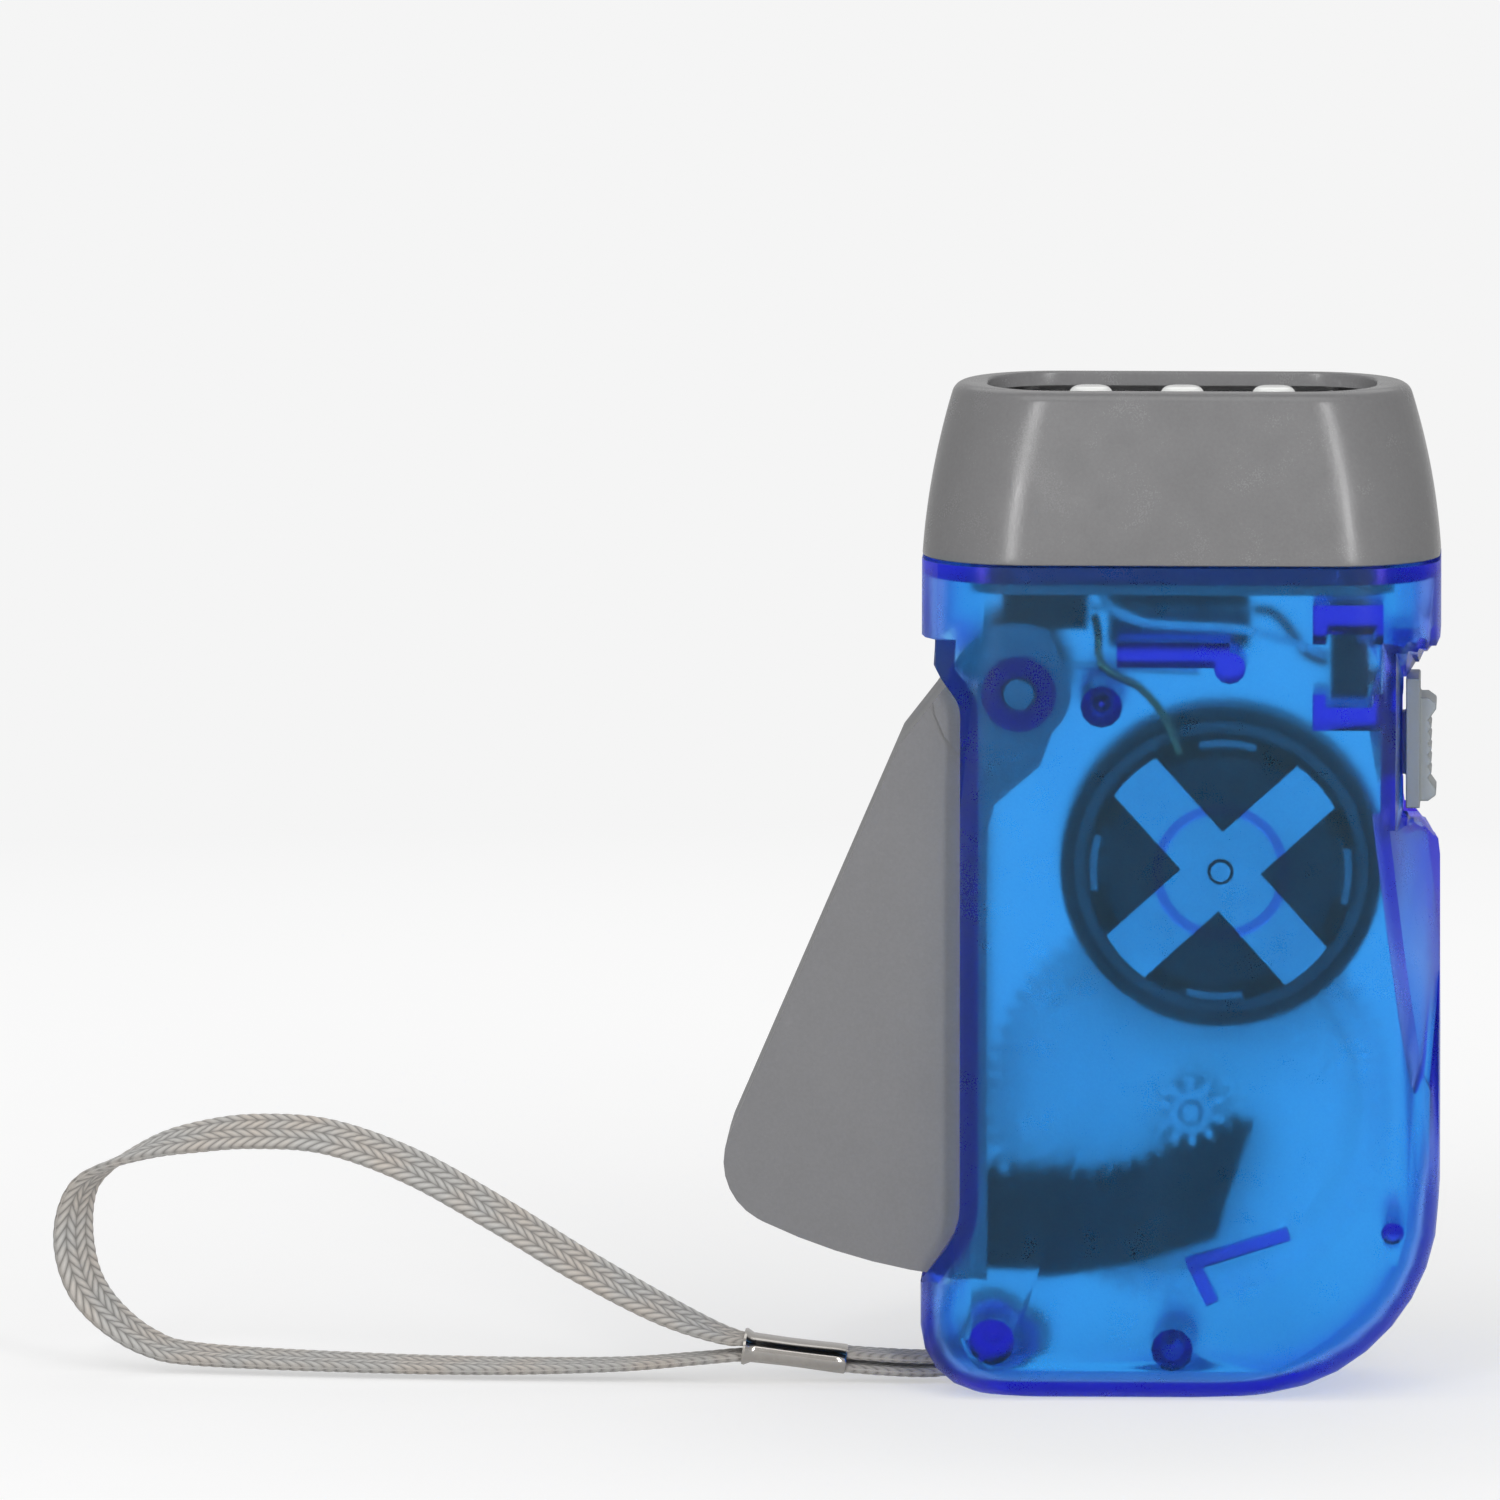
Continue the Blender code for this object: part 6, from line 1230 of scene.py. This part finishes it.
@dataclass
class WristStrap:
    """Flat braided strap, a closed loop that a metal ferrule pinches together."""

    width: float = 5.0 * MM
    thickness: float = 1.0 * MM
    square: tuple[float, float] = (0.62, 0.5)
    stitch: float = 0.13 * MM
    swell: float = 0.7
    fade: float = 2.0 * MM
    step: float = 0.165 * MM
    around: int = 48
    case_half: float = 25.75 * MM
    ferrule_x: float = -38.5 * MM
    ferrule_z: float = 2.83 * MM
    ferrule_tilt: float = math.radians(7.0)
    ferrule_half: tuple[float, float] = (3.3 * MM, 1.4 * MM)
    ferrule_wall: float = 0.25 * MM
    ferrule_square: float = 0.86
    seam: float = 0.16 * MM
    seam_place: float = math.radians(236.0)
    seam_width: float = 0.045
    yarn: BraidFinish = STRAP_YARN
    # Distance along the ferrule and how far its section grows there, in millimetres
    profile: tuple[tuple[float, float], ...] = (
        (5.2, -0.12), (5.05, 0.0), (4.0, 0.0), (0.8, -0.06), (-0.8, -0.06), (-3.9, 0.0),
        (-4.3, 0.02), (-4.6, 0.18), (-4.95, 0.36), (-5.2, 0.3), (-5.2, -0.17), (-4.3, -0.25),
        (0.0, -0.25), (5.2, -0.25),
    )
    # Distance from the case's middle, side shift and height, in metres, and tilt in degrees
    route: tuple[tuple[float, float, float, float], ...] = (
        (-0.0418, 0.0, 0.00391, 0), (-0.0385, 0.0, 0.0035, 0), (-0.034, 0.0, 0.00295, 0),
        (-0.029, 0.0, 0.0026, 0), (-0.026, 0.0, 0.0025, 0), (-0.024, 0.0, 0.0026, 0),
        (-0.0228, 0.0, 0.0032, 0), (-0.0221, 0.0, 0.0045, 0), (-0.0217, 0.0, 0.0063, 0),
        (-0.0204, 0.0, 0.0083, 0), (-0.018, 0.0, 0.00885, 0), (-0.0159, 0.0, 0.0075, 0),
        (-0.0154, 0.0, 0.0051, 0), (-0.0167, 0.0, 0.0031, 0), (-0.0188, 0.0, 0.00245, 0),
        (-0.0207, 0.0, 0.002, 0), (-0.0226, 0.0, 0.0014, 0), (-0.025, 0.0, 0.0011, 0),
        (-0.029, 0.0, 0.0012, 0), (-0.034, 0.0, 0.0016, 0), (-0.0385, 0.0, 0.00215, 0),
        (-0.043, 0.0, 0.0026, 0), (-0.048, 0.0001, 0.0022, 0), (-0.056, 0.0005, 0.0015, -2),
        (-0.0685, 0.0011, 0.0012, -7), (-0.083, 0.0024, 0.0013, -10),
        (-0.0983, 0.0047, 0.0017, -14), (-0.1033, 0.0052, 0.0028, -22),
        (-0.1073, 0.0055, 0.0055, -34), (-0.1099, 0.0055, 0.009, -45),
        (-0.1109, 0.0054, 0.0135, -48), (-0.1102, 0.0052, 0.0178, -34),
        (-0.1079, 0.005, 0.0203, -14), (-0.103, 0.0045, 0.0226, 12),
        (-0.0986, 0.004, 0.0237, 26), (-0.0928, 0.0034, 0.0244, 33),
        (-0.0853, 0.0026, 0.024, 34), (-0.077, 0.0018, 0.0212, 35),
        (-0.0685, 0.0011, 0.0166, 35), (-0.06, 0.0005, 0.0115, 33), (-0.052, 0.0001, 0.0072, 26),
        (-0.046, 0.0, 0.0047, 10), (-0.0428, 0.0, 0.00404, 0),
    )

    def build(self) -> None:
        """Make the strap and its ferrule."""
        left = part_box("front_shell")[0].x
        origin = np.array([left + self.case_half, 0, 0])
        line = through(np.array(self.route) * np.array([1, 1, 1, math.radians(1)]), self.step)
        line[:, :3] += origin
        ferrule = self.ferrule(origin)
        settle(ferrule, SLEEVE_NICKEL, "case", "chrome", "strap_ferrule")
        strap = self.band(line)
        settle(strap, self.yarn, "case", "webbing", "wrist_strap")

    def band(self, line: Array) -> bpy.types.Object:
        """Braided band along a line.

        Across the band the section is a flat oval, a power of the cosine wide and a
        power of the sine high. Its skin is pushed out by the stitches: each column
        of width w holds slanted bumps, a power of a sine along the band times the
        root of a parabola across the column.

        Args:
            line: Places and tilt along the band.

        Returns:
            The band.
        """
        places, tilt = line[:, :3], line[:, 3:]
        ahead = scaled_to_one(np.gradient(places, axis=0))
        level = scaled_to_one(np.array([0.0, 1.0, 0.0]) - ahead * ahead[:, 1:2])
        side = level * np.cos(tilt) + np.cross(ahead, level) * np.sin(tilt)
        face = np.cross(ahead, side)
        angle = np.linspace(0, math.tau, self.around, endpoint=False)
        cos, sin = np.cos(angle), np.sin(angle)
        wide, high = self.square
        across = bent(cos, wide) * (self.width / 2 - self.stitch / 2)
        rise = bent(sin, high) * (self.thickness / 2 - self.stitch)
        along = distances(places)
        # The lower face's columns are numbered ten further, so that its yarn differs
        band_v = across + (sin < 0) * 10 * self.yarn.column
        column = band_v / self.yarn.column
        number = np.floor(column)
        offset = column - number - 0.5
        lean = (number % 2) * 2 - 1
        phase = along[:, None] / self.yarn.pitch + lean * offset * self.yarn.slant
        bump = np.sin(math.pi * (phase % 1.0)) ** self.swell
        bump = bump * np.sqrt(np.clip(1 - 4 * offset ** 2, 0, 1))
        fade = np.clip(np.minimum(along, along[-1] - along) / self.fade, 0.2, 1.0)
        push = self.stitch * bump * fade[:, None]
        out = scaled_to_one(np.stack((cos * 0.35, bent(sin, high)), axis=1))
        local_side = across + push * out[:, 0]
        local_rise = rise + push * out[:, 1]
        points = places[:, None] + side[:, None] * local_side[..., None]
        body = closed_tube(points + face[:, None] * local_rise[..., None])
        pattern = np.stack(np.broadcast_arrays(along[:, None], band_v), axis=-1)
        body.pattern = np.vstack((pattern.reshape(-1, 2), np.zeros((2, 2))))
        return body.piece("braided_strap", 80)

    def ferrule(self, origin: Array) -> bpy.types.Object:
        """Pressed metal sleeve: an oval tube with a rolled lip, a pressed waist and a seam.

        The oval's width is a power of the cosine and its height the same power of
        the sine. The seam is a groove whose depth falls off as a bell curve.

        Args:
            origin: The case's middle.

        Returns:
            The ferrule.
        """
        stations, grow = (np.array(self.profile) * MM).T[..., None]
        angle = np.linspace(0, math.tau, 96, endpoint=False)
        wide, high = self.ferrule_half
        y = bent(np.cos(angle), self.ferrule_square) * wide
        z = bent(np.sin(angle), self.ferrule_square) * high
        away = scaled_to_one(np.stack((y / wide ** 2, z / high ** 2), axis=1))
        groove = self.seam * np.exp(-((angle - self.seam_place) / self.seam_width) ** 2)
        grow = grow - groove * (grow > -self.ferrule_wall * 0.9)
        ring_y = y + away[:, 0] * grow
        ring_z = z + away[:, 1] * grow
        cos, sin = math.cos(self.ferrule_tilt), math.sin(self.ferrule_tilt)
        ring_x = stations * cos + ring_z * sin + self.ferrule_x
        ring_z = ring_z * cos - stations * sin + self.ferrule_z
        points = np.stack((ring_x, ring_y, ring_z), axis=-1) + origin
        return lattice(points, round_u=True, round_v=True).piece("strap_sleeve", 40)


@dataclass(frozen=True)
class Softbox:
    """Rectangular lamp on a sphere of one metre round the flashlight, turned towards it."""

    name: str
    azimuth: float
    elevation: float
    width: float
    height: float
    power: float

    def build(self) -> None:
        """Place the lamp."""
        light = bpy.data.lights.new(self.name, "AREA")
        light.shape = "RECTANGLE"
        light.size, light.size_y = self.width, self.height
        light.energy = self.power
        turn, lift = math.radians(self.azimuth), math.radians(self.elevation)
        flat = math.cos(lift)
        away = Vector((math.sin(turn) * flat, -math.cos(turn) * flat, math.sin(lift)))
        target = Vector((0, 0, 0.05))
        pointed(linked(self.name, light), target + away, target)


@dataclass
class Studio:
    """Pale floor, soft light and the camera."""

    background: float = 0.913
    ambient: float = 0.31
    mirrored: float = 0.45
    near: float = 0.05
    far: float = 0.45
    floor_share: float = 0.35
    floor_lift: float = 1.50
    floor_radii: tuple[float, ...] = (0.02, 0.4, 1.5, 9.0)
    floor_level: float = -0.05 * MM
    paper: tuple[float, float] = (0.80, 0.83)
    eye_distance: float = 3.0
    eye_height: float = 0.430
    eye_side: float = 9.8 * MM
    eye_turn: float = math.radians(1.0)
    frame_width: float = 0.1494
    film: float = 36.0
    aim: tuple[float, float, float] = (-0.0332, 0.0, 0.0634)
    lamps: tuple[Softbox, ...] = (
        Softbox("left_strip", -18.0, 18.0, 0.11, 0.80, 3.6),
        Softbox("right_strip", 20.0, 18.0, 0.11, 0.80, 3.6),
        Softbox("top_softbox", -8.0, 68.0, 0.90, 0.60, 2.2),
        Softbox("back_softbox", 180.0, 50.0, 0.90, 0.60, 1.4),
    )

    def build(self) -> None:
        """Set the floor, the world, the lamps and the camera."""
        self.floor()
        self.world()
        for lamp in self.lamps:
            lamp.build()
        self.camera()

    def seen(self, graph: Graph) -> bpy.types.NodeSocket:
        """How much of the background a ray sees.

        Args:
            graph: Nodes of the floor's material or of the world.

        Returns:
            Socket of 1 for rays from the camera or through plastic, and less off a shine.
        """
        path = graph.add("ShaderNodeLightPath").outputs
        shine = graph.calc("MULTIPLY", path["Is Glossy Ray"], self.mirrored)
        both = graph.calc("MAXIMUM", path["Is Camera Ray"], shine)
        return graph.calc("MAXIMUM", both, path["Is Transmission Ray"])

    def floor(self) -> None:
        """Round floor whose colour is mostly the background's, so that shadows stay faint."""
        radii = np.array(self.floor_radii)
        surface = lattice(turned(radii, np.zeros(len(radii)), 96), round_v=True)
        first = np.arange(96)
        middle = np.full(96, len(surface.points))
        surface.tris = np.stack((np.roll(first, -1), first, middle), axis=1)
        surface.points = np.vstack((surface.points, np.zeros((1, 3))))
        surface.points[:, 2] = self.floor_level
        item = surface.piece("studio_floor", 30)
        if item.data.polygons[0].normal.z < 0:
            item.data.flip_normals()
        item.data.materials.append(self.floor_paper())

    def floor_paper(self) -> bpy.types.Material:
        """Pale paper near the flashlight that turns into the background further out.

        Returns:
            The material.
        """
        material = bpy.data.materials.new("floor_paper")
        material.use_nodes = True
        graph = Graph(material.node_tree)
        shader = material.node_tree.nodes["Principled BSDF"]
        place = graph.add("ShaderNodeTexCoord").outputs["Object"]
        dark, pale = ((level,) * 3 for level in self.paper)
        tone = graph.mixed(graph.noise(place, scale=55.0, detail=3.0), dark, pale)
        graph.fill(shader, Base_Color=tone, Roughness=0.9, Specular_IOR_Level=0.1)
        length = graph.add("ShaderNodeVectorMath", {"operation": "LENGTH"}, Vector=place)
        distance = length.outputs["Value"]
        share = graph.spread(distance, self.near, self.far, self.floor_share, 1.0)
        lift = graph.spread(distance, self.near, self.far, self.floor_lift, 1.0)
        glow = graph.add("ShaderNodeEmission", Color=(self.background,) * 3, Strength=lift)
        blend = graph.add("ShaderNodeMixShader")
        for socket, value in zip(blend.inputs, (
            graph.calc("MULTIPLY", self.seen(graph), share),
            shader.outputs["BSDF"], glow.outputs["Emission"],
        )):
            graph.feed(socket, value)
        graph.fill(material.node_tree.nodes["Material Output"], Surface=blend.outputs[0])
        return material

    def world(self) -> None:
        """Even pale surroundings, as bright as the background where they are seen."""
        world = bpy.data.worlds.new("studio")
        bpy.context.scene.world = world
        world.use_nodes = True
        graph = Graph(world.node_tree)
        node = world.node_tree.nodes["Background"]
        level = graph.spread(self.seen(graph), 0.0, 1.0, self.ambient, self.background)
        graph.fill(node, Color=(1.0, 1.0, 1.0), Strength=level)

    def camera(self) -> None:
        """Camera at the eye point, aimed at the middle of the picture."""
        data = bpy.data.cameras.new("picture")
        data.sensor_width = self.film
        eye = Vector((
            self.eye_side + self.eye_distance * math.sin(self.eye_turn),
            -self.eye_distance * math.cos(self.eye_turn),
            self.eye_height,
        ))
        target = Vector(self.aim)
        data.lens = data.sensor_width * (target - eye).length / self.frame_width
        data.clip_start, data.clip_end = 0.05, 40.0
        item = linked("picture", data)
        pointed(item, eye, target)
        bpy.context.scene.camera = item


def main() -> None:
    """Build every sub-assembly in order."""
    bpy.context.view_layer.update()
    bpy.context.scene.view_settings.view_transform = "Standard"
    Studio().build()
    for make in (grain_group, handling_group, braid_group):
        make()
    for assembly in (
        WristStrap(), CaseShells(), LampHead(), SqueezeLever(), ReturnSpring(),
        Dynamo(), Electrics(),
    ):
        LOG.info("building %s", type(assembly).__name__)
        assembly.build()


if __name__ == "__main__":
    logging.basicConfig(level=logging.INFO, format="%(name)s: %(message)s")
    for leftover in list(bpy.data.objects):
        bpy.data.objects.remove(leftover)
    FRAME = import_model()
    main()
